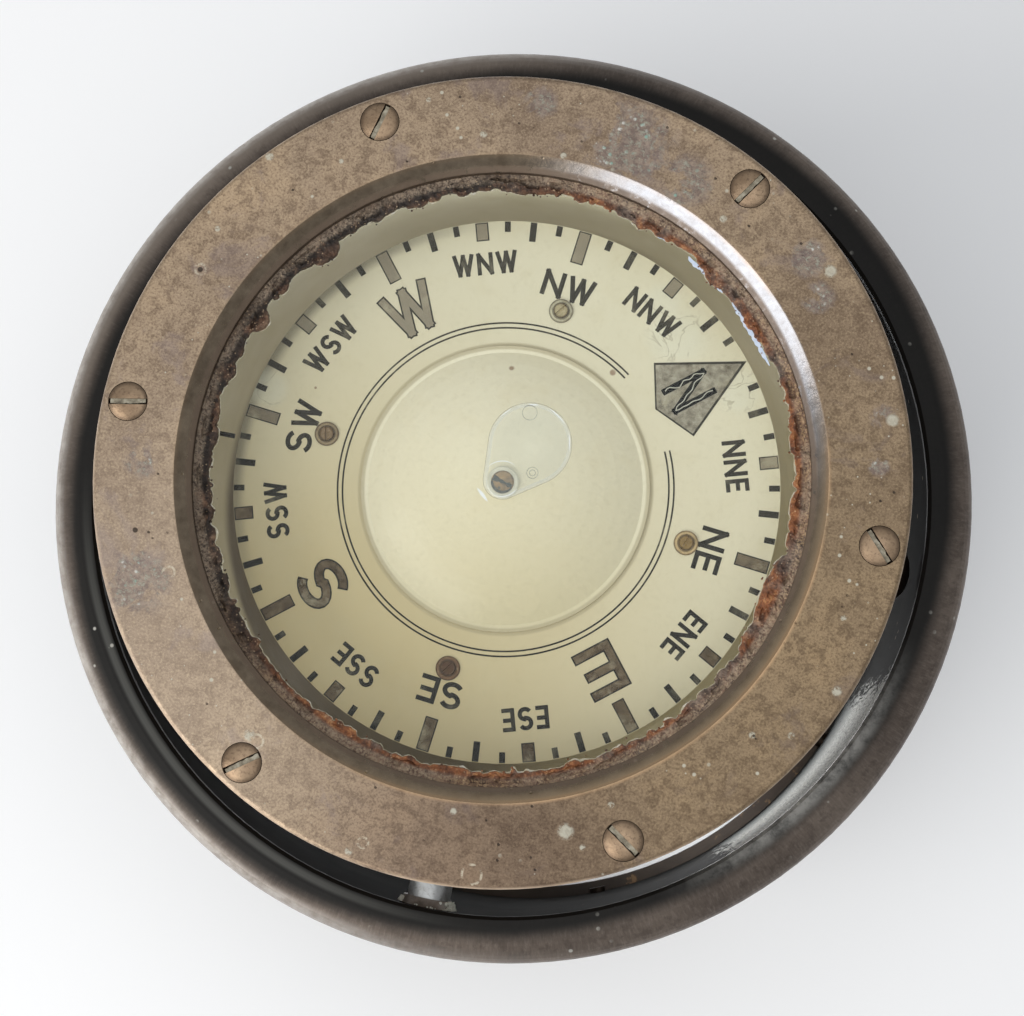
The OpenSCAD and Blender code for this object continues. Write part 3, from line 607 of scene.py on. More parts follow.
def putty_look():
    """Perished glazing putty: rust and brown lumps, tan crumbs, nearly black in the holes."""
    look = Look("putty")
    middle = look.noise(380, 7, 0.78, 0.4)
    fine = look.noise(1700, 6, 0.8)
    look.colour = look.ramp(middle, (0.30, (44, 28, 22)), (0.42, (104, 62, 38)), (0.54, (150, 92, 54)),
                            (0.66, (202, 148, 96)))
    dull = look.ramp(middle, (0.32, (40, 33, 29)), (0.48, (98, 82, 72)), (0.62, (146, 126, 110)))
    look.coat(dull, look.most(look.blots(0.46, 0.62, 52, 5, 0.65, 0.5),
                              look.times(look.ring(65.6, 66.8), 0.75)))
    look.coat(look.tones(fine, (150, 116, 80), (222, 190, 148), 0.42, 0.66), look.ring(66.3, 67.2),
              look.span(fine, 0.44, 0.58), 0.75)
    # on the side away from north the putty has gone almost black
    black = look.about(67, 160, 60, 90, TOP_Z - 5 * MM)
    umber = look.ramp(middle, (0.32, (34, 26, 20)), (0.48, (72, 54, 42)), (0.64, (132, 108, 88)))
    look.coat(umber, black, 0.82)
    gap = look.line(look.radius(), 66.0 * MM, 1.5 * MM, 0.5 * MM)
    look.coat((30, 24, 20), black, look.blots(0.38, 0.52, 240, 5, 0.7), look.lerp(gap, 0.55, 1.0), 0.9)
    look.coat((164, 146, 126), look.ring(65.9, 66.9), look.span(fine, 0.40, 0.56),
              look.blots(0.36, 0.56, 60, 4, 0.6), 0.75)
    look.coat((214, 186, 150), look.span(look.cells(1100), 0.24, 0.1), 0.5)
    look.shader(0.0, look.lerp(fine, 0.3, 0.8), look.bump(look.total((middle, 1), (fine, 0.7)), 0.9, 0.5),
                Specular_IOR_Level=0.5)


def glass_look():
    """Clear plate glass that lets the light through to the card and mirrors a little."""
    look = Look("cover_glass")
    clear = look.feed(look.add("ShaderNodeBsdfTransparent"), Color=(0.99, 0.995, 0.98, 1))
    mirror = look.feed(look.add("ShaderNodeBsdfGlossy"), Color=(1, 1, 1, 1),
                       Roughness=look.lerp(look.noise(40, 4, 0.6, 0.8), 0.02, 0.14))
    slant = look.add("ShaderNodeLayerWeight")
    look.feed(slant, Blend=0.5)
    share = look.math("MULTIPLY_ADD", look.math("POWER", slant.outputs["Facing"], 4.0), 0.5)
    look.feed(share.node, _2=0.01)
    look.finish(look.feed(look.add("ShaderNodeMixShader"), _0=share, _1=clear, _2=mirror))


def clear_look(name, colour, alpha, roughness, glow=0.0):
    """Something seen through, such as a film of lime; glow is painted light, an emission that brightens it.
    """
    look = Look(name, colour)
    grain = look.noise(900, 4, 0.65)
    look.coat((1, 1, 1, 1), look.span(grain, 0.45, 0.65), 0.35)
    look.shader(0.0, look.lerp(grain, roughness, roughness + 0.1), look.bump(grain, 0.15, 0.05),
                Alpha=alpha, Emission_Color=colour, Emission_Strength=glow)


def deposit_look():
    """Chalky grey-white deposit with a green cast."""
    look = Look("deposit")
    middle = look.noise(600, 5, 0.7)
    look.colour = look.ramp(middle, (0.3, (98, 90, 76)), (0.5, (142, 134, 116)), (0.7, (190, 184, 166)))
    look.shader(0.0, 0.85, look.bump(middle, 0.7, 0.3))


def eyelet_look(name, edge, metallic, first, *others):
    """Small brass on the card, in its own tone at each bearing and dark round an edge in mm."""
    look = Look(name, first)
    for step, tone in enumerate(others):
        look.coat(tone, look.near(polar(EYELET_R, NORTH_DEG - 135 - 90 * step, CARD_Z), 4 * MM, 6 * MM))
    grain = look.noise(520, 5, 0.68)
    look.coat((90, 70, 46), look.span(grain, 0.46, 0.62), 0.35)
    look.coat((214, 192, 148), look.blots(0.56, 0.66, 1600, 4, 0.7), 0.4)
    away = look.nearest(4, EYELET_R, NORTH_DEG + 45)
    look.coat((58, 44, 30), look.span(away, (edge - 0.5) * MM, (edge - 0.05) * MM), 0.7)
    look.coat((52, 40, 28), look.line(away, 1.85 * MM, 0.3 * MM, 0.1 * MM), 0.6)
    look.coat((40, 32, 24), look.span(look.height(), CARD_Z + 0.32 * MM, CARD_Z + 0.12 * MM), metallic)
    look.shader(metallic, look.lerp(grain, 0.26, 0.44), look.bump(grain, 0.3, 0.12), Specular_IOR_Level=0.2)


def floor_look():
    """The pale floor."""
    look = Look("floor")
    look.colour = look.tones(look.noise(3, 3, 0.5), (243, 244, 246), (247, 247, 248))
    look.shader(0.0, 0.6, look.bump(look.noise(900, 3), 0.05, 0.1),
                Emission_Color=(1, 0.99, 0.97, 1), Emission_Strength=0.06)


bronze_look()
screw_look()
rim_look()
drum_look()
boss_look()
bowl_look()
putty_look()
glass_look()
deposit_look()
floor_look()
brass_look("old_brass", (96, 74, 48), (158, 126, 84))
brass_look("dark_brass", (40, 35, 31), (78, 64, 52), 0.38)
brass_look("inner_brass", (128, 100, 62), (182, 148, 96), 0.34)
brass_look("cap_brass", (70, 48, 26), (186, 148, 96), 0.3, 4)
brass_look("copper_foil", (142, 82, 50), (196, 124, 82), 0.3)
eyelet_look("eyelet_brass", 2.8, 0.0, (206, 180, 136), (128, 98, 72), (160, 142, 114), (204, 198, 172))
eyelet_look("card_screw_brass", 1.7, 0.3, (140, 116, 76), (84, 60, 44), (132, 112, 88), (174, 162, 130))
enamel_look("card_enamel", (233, 227, 204), (227, 220, 194), (214, 203, 168),
            (205, 186, 138), polar(66 * MM, -118, CARD_Z), 125 * MM)
enamel_look("dome_enamel", (243, 237, 214), (238, 230, 204), (228, 216, 182),
            (218, 207, 172), polar(36 * MM, -80, CARD_Z + 3 * MM), 61 * MM, 0.24)
ink_look("slate_ink", (28, 28, 25), (56, 54, 49), 0.25, 0.08)
ink_look("grey_ink", (62, 50, 38), (128, 112, 90), 0.6, 0.72)
ink_look("kite_ink", (108, 101, 88), (184, 178, 162), 0.5)
ink_look("black_ink", (16, 17, 17), (36, 37, 36), 0.12)
# the bubble's fill and its pale band glow: painted light
clear_look("bubble_clear", (240, 248, 244), 0.07, 0.04, 0.5)
clear_look("bubble_rim", (150, 144, 122), 0.3, 0.1)
clear_look("bubble_glow", (250, 252, 248), 0.12, 0.1, 0.4)
clear_look("glint", (250, 252, 255), 0.9, 0.04)
clear_look("lime_film", (206, 198, 170), 0.62, 0.3)
# painted highlights: bright slivers on the glass by the putty
clear_look("meniscus_glints", (206, 222, 244), 0.95, 0.05)
plain_look("scratch", (176, 174, 160), (206, 204, 192), 0.0, (0.42, 0.6))
plain_look("chalk", (214, 216, 202), (250, 251, 242), 0.0, (0.77, 0.95), (500, 5, 0.65), (2500, 3, 0.7))
plain_look("lead", (84, 86, 90), (112, 114, 118), 0.5, (0.52, 0.7), (120, 5, 0.65), (600, 3, 0.7))
plain_look("gasket_rubber", (24, 23, 22), (44, 41, 39), 0.0, (0.62, 0.8))
plain_look("red_fibre", (96, 46, 30), (132, 70, 46), 0.0, (0.62, 0.8))
plain_look("needle_steel", (170, 172, 176), (206, 208, 212), 0.9, (0.16, 0.34))
plain_look("magnet_steel", (52, 54, 57), (82, 84, 88), 0.8, (0.32, 0.5))
plain_look("lubber_black", (26, 25, 24), (48, 45, 42), 0.2, (0.42, 0.6))
plain_look("jewel", (128, 24, 40), (168, 40, 60), 0.0, (0.04, 0.22))
plain_look("clear_washer", (208, 203, 182), (236, 232, 214), 0.0, (0.08, 0.26))
# dark brown paint, worn to the metal in places
plain_look("foot_paint", (52, 45, 40), (76, 65, 56), 0.5, (0.4, 0.6), (40, 5, 0.62), (700, 5, 0.7),
           (0.45, 0.2), ((138, 108, 74), 0.7, 0.57, 0.66, 120, 5, 0.7))
# dull nickel grey with lime
plain_look("pin_metal", (172, 173, 172), (226, 228, 228), 0.6, (0.24, 0.42), (160, 5, 0.65),
           (1100, 4, 0.7), (0.35, 0.15), ((128, 126, 118), 0.5, 0.52, 0.68, 1100, 4, 0.7))

# The nodes that each material covers.
NODE_LOOKS = {
    "bezel_bronze": "bezel_ring",
    "screw_bronze": "bezel_screws",
    "rim_paint": "drum_rim",
    "drum_paint": "binnacle_drum",
    "boss_metal": "gimbal_bosses",
    "foot_paint": "foot_ring",
    "bowl_bronze": "bowl_shell bowl_flange",
    "dark_brass": "foot_rivets inner_pivot_screws",
    "old_brass": "outer_pin_nuts gimbal_ring inner_pivot_nuts bowl_trunnions filler_plug "
                 "ballast_screws diaphragm_cover cover_screws",
    "inner_brass": "pivot_bridge bridge_screws pivot_post float_tube magnet_holders",
    "pin_metal": "outer_pivot_pins",
    "red_fibre": "filler_washer",
    "lead": "ballast_ring",
    "copper_foil": "expansion_diaphragm",
    "needle_steel": "pivot_needle",
    "lubber_black": "lubber_pin",
    "gasket_rubber": "glass_gasket",
    "cover_glass": "cover_glass",
    "card_enamel": "compass_card",
    "dome_enamel": "float_dome float_cup",
    "cap_brass": "jewel_cap",
    "clear_washer": "cap_washer",
    "jewel": "pivot_jewel",
    "eyelet_brass": "card_eyelets",
    "card_screw_brass": "card_screws",
    "magnet_steel": "bar_magnets",
    "putty": "glazing_putty",
}


def paint_nodes():
    """Gives each CAD node its material."""
    for look, names in NODE_LOOKS.items():
        for name in names.split():
            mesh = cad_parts[name].data
            mesh.materials.clear()
            mesh.materials.append(LOOKS[look])


# ---- Mesh helpers ----

def new_object(name, points, faces, look):
    """A mesh object in the scene, with a material."""
    mesh = bpy.data.meshes.new(name)
    mesh.from_pydata([tuple(p) for p in points], [], faces)
    mesh.update()
    mesh.materials.append(LOOKS[look])
    piece = bpy.data.objects.new(name, mesh)
    scene.collection.objects.link(piece)
    return piece


def add_mesh(name, points, faces, look, body):
    """A mesh piece that rides on a body."""
    piece = new_object(name, points, faces, look)
    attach(piece, body)
    return piece


def oval(centre, wide, high, first, last, steps):
    """Points along an arc of an oval, between two angles in degrees."""
    return [centre + Vector((wide, high)) * aim(math.radians(first + (last - first) * i / steps))
            for i in range(steps + 1)]


def arc(centre, radius, first, last, steps=16):
    """Points along an arc of a circle, between two angles in degrees."""
    return oval(centre, radius, radius, first, last, steps)


class Print:
    """Collects thin closed marks, all of one thickness below their level."""

    def __init__(self, thick=0.03 * MM):
        self.thick = thick
        self.points = []
        self.faces = []

    def lay(self, flat, z):
        """Adds flat points at both levels, and gives the number of the first."""
        base = len(self.points)
        self.points += [(x, y, level) for level in (z - self.thick, z) for x, y in flat]
        return base

    def prism(self, outline, z):
        """A closed flat prism over a convex anticlockwise outline of (x, y) points."""
        n = len(outline)
        low = self.lay(outline, z)
        high = low + n
        self.faces.append([low + i for i in reversed(range(n))])
        self.faces.append([high + i for i in range(n)])
        for i in range(n):
            j = (i + 1) % n
            self.faces.append([low + i, low + j, high + j, high + i])

    def band(self, left, right, z, closed=False):
        """A closed flat strip between two rows of points."""
        n = len(left)
        low_l = self.lay([*left, *right], z)
        low_r, high_l, high_r = low_l + n, low_l + 2 * n, low_l + 3 * n
        for i in range(n if closed else n - 1):
            j = (i + 1) % n
            self.faces.append([high_l + i, high_r + i, high_r + j, high_l + j])
            self.faces.append([low_l + i, low_l + j, low_r + j, low_r + i])
            self.faces.append([low_l + i, high_l + i, high_l + j, low_l + j])
            self.faces.append([low_r + i, low_r + j, high_r + j, high_r + i])
        if not closed:
            self.faces.append([low_l, low_r, high_r, high_l])
            self.faces.append([end + n - 1 for end in (high_l, high_r, low_r, low_l)])

    def piece(self, name, look, body, slot=None):
        """The marks so far, as a mesh piece on a body."""
        return add_mesh(name, self.points, self.faces, look, body)


# ---- The card's print ----

card_slate, card_grey, card_kite, card_black, card_scratch = (Print() for _ in range(5))
SLATE_Z = CARD_Z + 0.05 * MM
GREY_Z = CARD_Z + 0.09 * MM
LIFT = 0.004 * MM          # by which each stroke of a letter lies over the one before


def card_frame(degrees_from_north):
    """Outward and clockwise directions on the card at a bearing, clockwise from north."""
    outward = aim(math.radians(NORTH_DEG - degrees_from_north))
    return outward, Vector((outward.y, -outward.x))


def stroke(target, path, width, z):
    """A stroke of constant width along a path of 2-D points, with mitred corners."""
    left, right = [], []
    count = len(path)
    for i, point in enumerate(path):
        before = (point - path[i - 1]).normalized() if i else None
        after = (path[i + 1] - point).normalized() if i < count - 1 else None
        along = before or after
        if before and after:
            along = (before + after).normalized()
        side = along.orthogonal()
        reach = width / 2
        if before and after:
            reach /= max(0.5, side.dot(before.orthogonal()))
        left.append(point + side * reach)
        right.append(point - side * reach)
    target.band(left, right, z)


# The straight strokes of letters, as chains of points in a box of width and height 1.
CHAINS = {
    "N": [[(0, 0), (0, 1), (1, 0), (1, 1)]],
    "E": [[(0, 0), (0, 1), (1, 1)], [(0, 0.52), (0.9, 0.52)], [(0, 0), (1, 0)]],
    "W": [[(0, 1), (0.27, 0), (0.5, 1), (0.73, 0), (1, 1)]],
}


def glyph(letter, wide, high):
    """Centre lines of a capital letter in a box of that width and height."""
    if letter == "S":
        top, low = high * 0.27, high * 0.265
        return [oval(Vector((wide / 2, high - top)), wide / 2, top, 28, 268, 14)
                + oval(Vector((wide / 2, low)), wide / 2, low, 82, -150, 14)]
    return [[Vector((x * wide, y * high)) for x, y in pair]
            for chain in CHAINS[letter] for pair in zip(chain, chain[1:])]


# Letter widths as shares of the height, strokes included, for words of one, two and three letters.
WIDTHS = {
    1: {"N": 0.62, "E": 0.82, "S": 0.86, "W": 1.06},
    2: {"N": 0.80, "E": 0.70, "S": 0.78, "W": 1.02},
    3: {"N": 0.71, "E": 0.55, "S": 0.64, "W": 0.93},
}


def word(text, bearing, inner, height, thick, gap, outline=0.0):
    """Prints a word across the bearing's line, its tops outward."""
    outward, clockwise = card_frame(bearing)
    widths = [WIDTHS[len(text)][letter] * height for letter in text]
    half = thick / 2
    start = half - (sum(widths) + gap * (len(text) - 1)) / 2
    for letter, wide in zip(text, widths):
        past = half * 0.96 if letter != "S" else 0.0
        for number, line in enumerate(glyph(letter, wide - thick, height - thick)):
            path = [outward * (inner + half + point.y) + clockwise * (start + point.x) for point in line]
            stroke(card_slate, extend(path, past), thick, SLATE_Z + number * LIFT)
            if outline:
                stroke(card_grey, extend(path, past - outline), thick - 2 * outline,
                       GREY_Z + number * LIFT)
        start += wide + gap


def extend(path, length):
    """The path made longer, or with a negative length shorter, at both ends."""
    first = path[0] + (path[0] - path[1]).normalized() * length
    last = path[-1] + (path[-1] - path[-2]).normalized() * length
    return [first] + path[1:-1] + [last]


def bar(target, bearing, inner, outer, width, z):
    """A radial tick."""
    outward, clockwise = card_frame(bearing)
    a, b = outward * inner, outward * outer
    side = clockwise * width / 2
    target.prism([b - side, b + side, a + side, a - side], z)


def print_ticks():
    """A tick at every 64th of the circle but north. Every fourth is broad, grey in a dark outline."""
    edge = CARD_R - 0.15 * MM
    line = 0.28 * MM
    for number in range(1, 64):
        bearing = 360 * number / 64
        if number % 4 == 0:
            inner = (58.3 if number % 8 else 54.9) * MM
            bar(card_slate, bearing, inner, edge, 3.0 * MM, SLATE_Z)
            bar(card_grey, bearing, inner + line, edge - line, 3.0 * MM - 2 * line, GREY_Z)
        elif number % 4 == 2:
            bar(card_slate, bearing, 58.1 * MM, edge, 1.5 * MM, SLATE_Z)
        else:
            bar(card_slate, bearing, 60.2 * MM, edge, 1.35 * MM, SLATE_Z)


def print_rings():
    """Two thin circles, open at the north mark."""
    half = 0.19 * MM
    steps = 220
    for radius in (37.45 * MM, 38.6 * MM):
        ways = [card_frame(15 + 330 * i / steps)[0] for i in range(steps + 1)]
        card_slate.band([way * (radius + half) for way in ways],
                        [way * (radius - half) for way in ways], SLATE_Z)


def scratched(path, seed):
    """A wavering line along a straight stroke, as a knife point leaves it."""
    start, finish = path
    side = Vector((start.y - finish.y, finish.x - start.x)).normalized()
    points = []
    for i in range(15):
        waver = noise.noise(Vector((i * 0.3, seed * 5.3, 0.2))) * 1.2 * MM
        points.append(start.lerp(finish, i / 14) + side * waver)
    return points


def print_north():
    """The kite that marks north, with an N in it."""
    outward, clockwise = card_frame(0)
    line = 0.42 * MM

    def kite(inner, shoulder, half, tip):
        return [outward * shoulder + clockwise * half, outward * tip,
                outward * shoulder - clockwise * half, outward * inner]
    inner, half, tip = 38.9 * MM, 9.7 * MM, CARD_R - 0.2 * MM
    card_slate.prism(kite(inner, 43.7 * MM, half, tip), SLATE_Z)
    card_kite.prism(kite(inner + line, 43.8 * MM, half - 1.5 * line, tip - 3 * line), GREY_Z)
    high, wide, thick = 11.2 * MM, 6.6 * MM, 1.5 * MM
    half_wide = (wide - thick) / 2
    for number, path in enumerate(glyph("N", wide - thick, high - thick)):
        points = [outward * (42.1 * MM + thick / 2 + point.y) + clockwise * (point.x - half_wide)
                  for point in path]
        level = GREY_Z + 0.05 * MM + number * LIFT
        stroke(card_black, extend(points, thick * 0.48), thick, level)
        stroke(card_scratch, scratched(points, number), 0.22 * MM, level + 0.05 * MM)


def print_card():
    """The ticks, rings, letters and north mark, in five colours."""
    print_ticks()
    print_rings()
    print_north()
    for i, text in enumerate(("E", "S", "W")):
        word(text, 90 + 90 * i, 41.3 * MM, 11.7 * MM, 2.4 * MM, 0, 0.36 * MM)
    for i, text in enumerate(("NE", "SE", "SW", "NW")):
        word(text, 45 + 90 * i, 45.8 * MM, 6.2 * MM, 1.08 * MM, 0.9 * MM)
    for i, text in enumerate(("NNE", "ENE", "ESE", "SSE", "SSW", "WSW", "WNW", "NNW")):
        word(text, 22.5 + 45 * i, 50.2 * MM, 5.3 * MM, 0.95 * MM, 0.7 * MM)
    card_slate.piece("card_print_slate", "slate_ink", "card")
    card_grey.piece("card_print_grey", "grey_ink", "card")
    card_kite.piece("card_print_kite", "kite_ink", "card")
    card_black.piece("card_print_black", "black_ink", "card")
    card_scratch.piece("card_scratches", "scratch", "card")


# ---- Putty ----

# Larger lumps that have crept in over the glass: angle, half width in degrees, extra reach in mm.
LUMPS = [(158, 2.6, 2.3), (139, 3.4, 2.6), (150, 1.6, 1.2), (170, 2.0, 1.3), (183, 2.4, 1.5),
         (-12, 7.5, 2.5), (-20, 5.0, 1.3), (54, 2.6, 1.9), (43, 1.8, 1.1), (96, 3.5, 0.9),
         (5, 3.0, 1.2), (-88, 4.0, 0.8), (118, 2.0, 1.0)]


def small_lumps():
    """Many small round lumps at random, in the same form."""
    draw = random.Random(11)
    return [(draw.uniform(-180, 180), draw.uniform(0.5, 1.7), draw.uniform(0.2, 1.0))
            for _ in range(190)]


LUMPS += small_lumps()


def ragged(turn, seed, rate):
    """Smooth noise round the ring, from about -1 to 1, that closes on itself."""
    return noise.noise(Vector((*(aim(turn) * rate), seed)))


def putty_toe(turn):
    """Radius of the putty's inner edge at an angle in radians."""
    reach = 3.05 + 0.6 * ragged(turn, 1, 5) + 0.45 * ragged(turn, 2, 17)
    reach += 0.25 * ragged(turn, 3, 48) + 0.12 * ragged(turn, 4, 150)
    lump = 0.0
    for angle, width, extra in LUMPS:
        off = (math.degrees(turn) - angle + 180) % 360 - 180
        if abs(off) < width:
            lump = max(lump, extra * math.sqrt(1 - (off / width) ** 2))
    return BORE_R - (reach + lump) * MM


def make_putty():
    """A crumbled fillet between the bezel's bore and the glass, with a ragged toe."""
    around, across = 1800, 20
    wall = BORE_R - 0.02 * MM
    floor = GLASS_HIGH + 0.03 * MM
    points, faces = [], []
    for i in range(around):
        turn = 2 * math.pi * i / around
        toe = putty_toe(turn)
        rise = (1.75 + 0.35 * ragged(turn, 5, 9) + 0.3 * ragged(turn, 6, 40)) * MM
        for j in range(across + 1):
            share = j / across
            radius = wall + (toe - wall) * share
            height = rise * (0.42 + 0.58 * (1 - share) ** 1.3)
            place = Vector((*(aim(turn) * radius), height))
            lump = noise.fractal(place * 520, 1.0, 2.2, 5) * 0.5 * MM
            crumb = noise.noise(place * 1700) * 0.2 * MM
            groove = noise.noise(place * 240 + Vector((7, 0, 0)))
            if groove > 0.12 and 0.2 < share < 0.75:
                height -= 1.1 * MM * min(1.0, (groove - 0.12) * 5)
            height = max(0.1 * MM, height + (lump + crumb) * math.sin(math.pi * share) ** 0.4)
            if j == across:
                height = 0.0
            points.append((place.x, place.y, floor + height))
        points.append((*(aim(turn) * wall), floor))
    row = across + 2
    for i in range(around):
        a, b = i * row, ((i + 1) % around) * row
        for j in range(row):
            k = (j + 1) % row
            faces.append([a + j, a + k, b + k, b + j])
    piece = add_mesh("crumbled_putty", points, faces, "putty", "bowl")
    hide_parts("glazing_putty")


def ring_strip(target, first, last, steps, inner, outer, z):
    """A flat strip between two radii that are functions of the angle in radians."""
    closed = last - first >= 360
    turns = [math.radians(first + (last - first) * i / steps)
             for i in range(steps if closed else steps + 1)]
    target.band([aim(turn) * outer(turn) for turn in turns],
                [aim(turn) * inner(turn) for turn in turns], z, closed)


def make_glass_edge():
    """The pale film of lime along the putty's toe, and painted highlights beside it."""
    level = GLASS_HIGH + 0.05 * MM

    def film_inner(turn):
        spread = 0.14 + 0.6 * max(0.0, ragged(turn, 8, 22)) + 0.1 * ragged(turn, 9, 60)
        return putty_toe(turn) - max(0.04, spread) * MM

    def film_outer(turn):
        return putty_toe(turn) + 0.3 * MM
    film = Print()
    ring_strip(film, 0, 360, 1800, film_inner, film_outer, level)
    film.piece("lime_film", "lime_film", "bowl", slot="putty")
    # painted highlights: bluish-white slivers along the toe on one side
    sliver_glints = Print()
    for first, last, radius, width in ((33.5, 48.5, 64.6, 1.25), (51, 54, 64.4, 0.7),
                                       (55.5, 61, 64.8, 1.1), (66, 69, 65.0, 0.6)):
        middle, half = math.radians((first + last) / 2), math.radians((last - first) / 2)

        def outer(turn, radius=radius):
            return (radius + 0.16 * ragged(turn, 12, 30)) * MM

        def inner(turn, radius=radius, width=width, middle=middle, half=half):
            taper = max(0.0, 1 - ((turn - middle) / half) ** 4)
            wide = 0.08 + width * taper * (0.8 + 0.5 * ragged(turn, 13, 60))
            return outer(turn, radius) - wide * MM
        ring_strip(sliver_glints, first, last, 60, inner, outer, level + 0.06 * MM)
    sliver_glints.piece("meniscus_glints", "meniscus_glints", "bowl", slot="cover_glass")


# ---- Air bubble under the glass ----

# The bubble's outline wraps two circles, each a centre and a radius.
BUBBLE_MAIN = (Vector((4.55, 9.3)) * MM, 9.45 * MM)
BUBBLE_NECK = (Vector((0.1, 0.1)) * MM, 4.4 * MM)
BUBBLE_Z = (CAP_Z + GLASS_LOW) / 2


def teardrop(shrink=0.0):
    """Outline round the bubble's two circles and the lines that touch both, anticlockwise."""
    (far, big), (near, small) = BUBBLE_MAIN, BUBBLE_NECK
    across = far - near
    middle = math.degrees(math.atan2(across.y, across.x))
    lean = math.degrees(math.acos((small - big) / across.length))
    return (arc(far, big - shrink, middle - lean, middle + lean, 60)
            + arc(near, small - shrink, middle + lean, middle + 360 - lean, 60))


def make_air():
    """A flat teardrop of air, domed on top."""
    edge = teardrop(0.25 * MM)
    centre = sum(edge, Vector((0, 0))) / len(edge)
    rings = 8
    rise = 0.9 * MM
    points, faces = [], []
    for i in range(1, rings + 1):
        share = i / rings
        swell = rise * math.sqrt(max(0.0, 1 - share ** 2.6))
        points += [(*(centre + (point - centre) * share), BUBBLE_Z + swell) for point in edge]
    n = len(edge)
    top = len(points)
    points.append((centre.x, centre.y, BUBBLE_Z + rise))
    for j in range(n):
        k = (j + 1) % n
        faces.append([top, j, k])
        for i in range(0, (rings - 1) * n, n):
            faces.append([i + j, i + n + j, i + n + k, i + k])
    faces.append([(rings - 1) * n + j for j in reversed(range(n))])
    return add_mesh("air_bubble", points, faces, "bubble_clear", "bowl")


def make_bubble():
    """The bubble held under the glass beside the cap, with painted dark edges, a painted pale band and
    painted highlights.
    """
    air = make_air()
    air.data.shade_smooth()
    air.visible_shadow = False

    # painted shade: dark edges round the bubble and three small rings
    dark = Print()
    dark.band(teardrop(), teardrop(0.17 * MM), BUBBLE_Z - 0.05 * MM, closed=True)
    for place, radius in (((6.4, 3.0), 1.35), ((6.4, 3.0), 0.75), ((3.1, 16.3), 1.75)):
        outer, inner = (arc(Vector(place) * MM, (radius - thick) * MM, 0, 345, 24)
                        for thick in (0, 0.16))
        dark.band(outer, inner, BUBBLE_Z - 0.05 * MM, closed=True)
    dark.piece("bubble_edge", "bubble_rim", "bowl", slot="cover_glass")

    # painted light: a pale band just inside the bubble's edge
    glow = Print()
    glow.band(teardrop(0.2 * MM), teardrop(1.0 * MM), BUBBLE_Z - 0.1 * MM, closed=True)
    glow.piece("bubble_glow", "bubble_glow", "bowl", slot="cover_glass").visible_shadow = False

    # Each glint: a circle, how far outside it in mm, two angles and a width in mm.
    bright = Print()
    for (place, radius), past, first, last, width in (
            (BUBBLE_NECK, 1.5, -150, -112, 0.75), (BUBBLE_NECK, -0.1, 60, 150, 0.22),
            (BUBBLE_NECK, -0.5, -100, -20, 0.2), (BUBBLE_MAIN, -0.45, 40, 72, 0.28),
            (BUBBLE_MAIN, -0.5, 88, 104, 0.3), (BUBBLE_MAIN, -0.42, 0, 26, 0.2),
            (BUBBLE_MAIN, -0.5, 128, 150, 0.18)):
        outer = arc(place, radius + past * MM, first, last)
        inner = arc(place, radius + (past - width) * MM, first, last)
        for i, point in enumerate(outer):
            thin = math.sin(math.pi * i / (len(outer) - 1))
            inner[i] = point + (inner[i] - point) * (0.15 + 0.85 * thin)
        bright.band(outer, inner, BUBBLE_Z + 0.95 * MM)
    bright.piece("bubble_glints", "glint", "bowl", slot="cover_glass")


def make_cap_marks():
    """Black marks on the cap: painted shade in its slot and round one side of its rim, and three small
    black spots.
    """
    dark_marks = Print()
    level = CAP_Z + 0.02 * MM
    reach = 2.6 * MM
    along = aim(math.radians(-16))
    across = along.orthogonal()
    # painted shade along the slot
    left, right = [], []
    for i in range(17):
        share = i / 8 - 1
        half = (0.42 + 0.5 * noise.noise(Vector((share * 3, 0.3, 0.7)))) * MM
        left.append(along * share * reach * 0.9 + across * half)
        right.append(along * share * reach * 0.9 - across * half)
    dark_marks.band(left, right, level)
    for place, size in ((along * -1.3, 0.62), (along * 1.45, 0.42), (across * -1.5, 0.3)):
        dark_marks.prism(arc(place * MM, size * MM, 0, 330, 11), level + 0.01 * MM)
    # painted shade round one side of the cap's rim
    outer = arc(Vector((0, 0)), reach, 190, 330, 30)
    inner = arc(Vector((0.15, 0.3)) * MM, reach - 0.3 * MM, 190, 330, 30)
    dark_marks.band(outer, inner, level)
    dark_marks.piece("cap_marks", "black_ink", "card")


# ---- Deposits ----

SLOT_TURNS = (-48, 56, 76, 10, 36, -34)    # the bezel screws' slots, starting with the one on +X


def make_slot_deposit():
    """Old paint and verdigris that half fill the slots of the bezel screws."""
    fill = Print(0.7 * MM)
    for number, turn in enumerate(SLOT_TURNS):
        centre = polar(SCREW_R, 60 * number).to_2d()
        along = aim(math.radians(turn))
        side = along.orthogonal() * (1 if number % 2 else -1)
        left, right = [], []
        for i in range(25):
            reach = (i / 12 - 1) * 3.95 * MM
            wave = noise.noise(Vector((reach * 900, number * 3.7, 0.5)))
            left.append(centre + along * reach + side * 0.63 * MM)
            right.append(centre + along * reach + side * (-0.36 + 0.3 * wave) * MM)
        fill.band(left, right, TOP_Z - 0.22 * MM)
    fill.piece("slot_deposit", "deposit", "bowl", slot="screw_bronze")


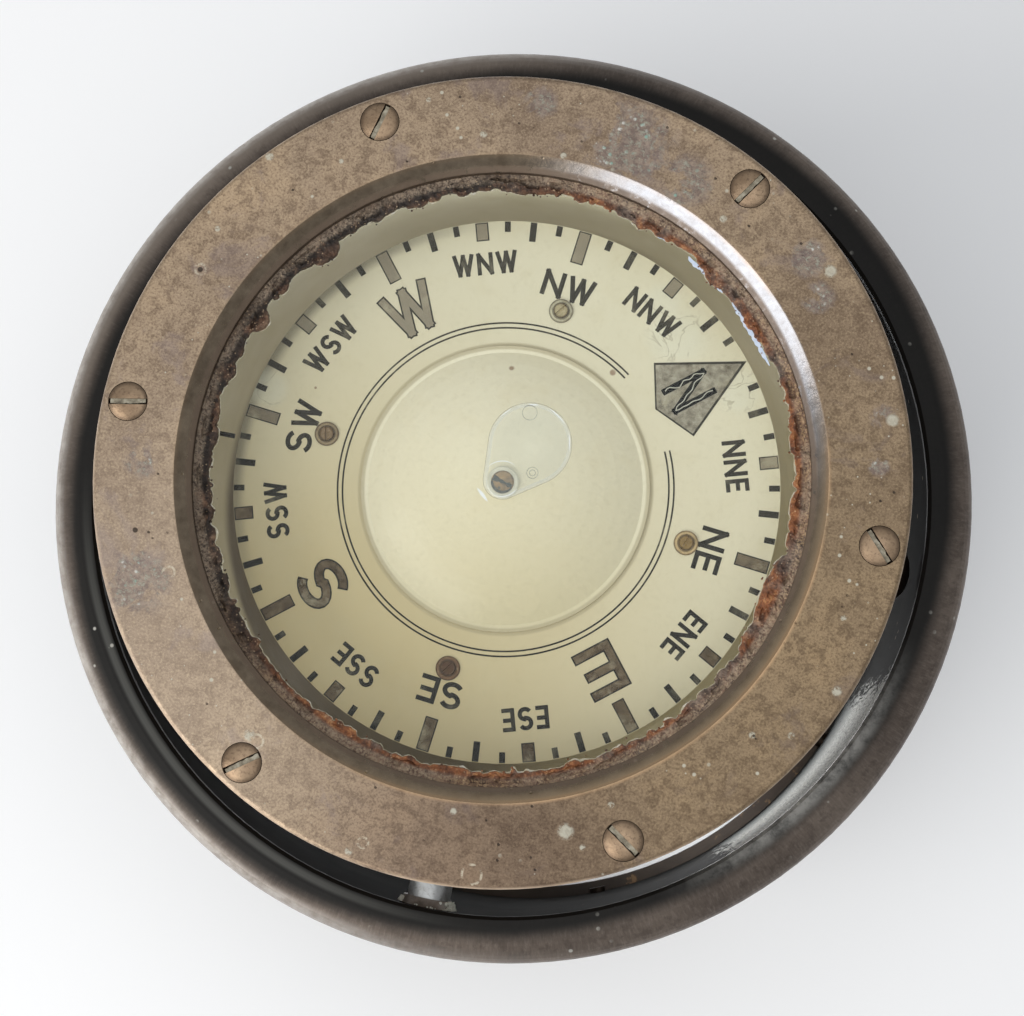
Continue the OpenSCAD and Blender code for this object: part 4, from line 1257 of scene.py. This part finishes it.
def crumbs(name, places, look, body, seed):
    """Small irregular grains at the given places, each with its size in mm."""
    draw = random.Random(seed)
    points, faces = [], []
    for place, size in places:
        base = len(points)
        lean = draw.uniform(0, math.pi)
        for ring in range(1, 4):
            tall = math.pi * ring / 4
            for i in range(6):
                reach = size * MM * draw.uniform(0.7, 1.15)
                flat = aim(math.pi / 3 * i + lean) * math.sin(tall)
                points.append(place + Vector((*flat, 0.7 * math.cos(tall))) * reach)
        for end in (0.7, -0.7):
            points.append(place + Vector((0, 0, end * size * MM)))
        for i in range(6):
            j = (i + 1) % 6
            faces.append([base + 18, base + i, base + j])
            faces.append([base + 19, base + 12 + j, base + 12 + i])
            for a in (base, base + 6):
                faces.append([a + i, a + 6 + i, a + 6 + j, a + j])
    return add_mesh(name, points, faces, look, body)


def make_crumbs():
    """Grains of putty fallen on the glass, and lime round the front gimbal pin."""
    draw = random.Random(7)
    fallen = []
    for _ in range(150):
        turn = draw.uniform(0, 2 * math.pi)
        size = draw.uniform(0.12, 0.32)
        reach = putty_toe(turn) - abs(draw.gauss(0, 0.5)) * MM + 0.3 * MM
        height = GLASS_HIGH + (0.03 + size * 0.6) * MM
        fallen.append((Vector((*(aim(turn) * reach), height)), size))
    crumbs("putty_crumbs", fallen, "putty", "bowl", 3)
    # Each group: its angle round the pin and spread, first and last distance from Z, and count.
    grains = []
    for middle, spread, first, last, count in ((72, 11, 95.2, 97.1, 150), (84, 6, 96.6, 97.1, 60),
                                               (-74, 7, 95.9, 97.1, 40), (0, 60, 96.9, 97.1, 16)):
        for _ in range(count):
            turn = math.radians(draw.gauss(middle, spread))
            depth = draw.uniform(first, last)
            reach = (5.95 + 0.4 * (depth - 95.2)) * MM
            place = Vector((reach * math.sin(turn), -depth * MM, GIMBAL_Z + reach * math.cos(turn)))
            grains.append((place, draw.uniform(0.14, 0.42)))
    crumbs("pin_lime", grains, "chalk", "binnacle", 5)


# ---- Floor and finish ----

def make_floor():
    """A wide plain floor just under the foot."""
    size = 9.0
    corners = [(-size, -size, 0), (size, -size, 0), (size, size, 0), (-size, size, 0)]
    floor = new_object("floor", corners, [[0, 1, 2, 3]], "floor")
    floor.location.z = -0.2 * MM


make_camera()
make_light()
make_floor()
paint_nodes()
print_card()
make_putty()
make_glass_edge()
make_bubble()
make_cap_marks()
make_slot_deposit()
make_crumbs()

scene.view_settings.view_transform = "Standard"
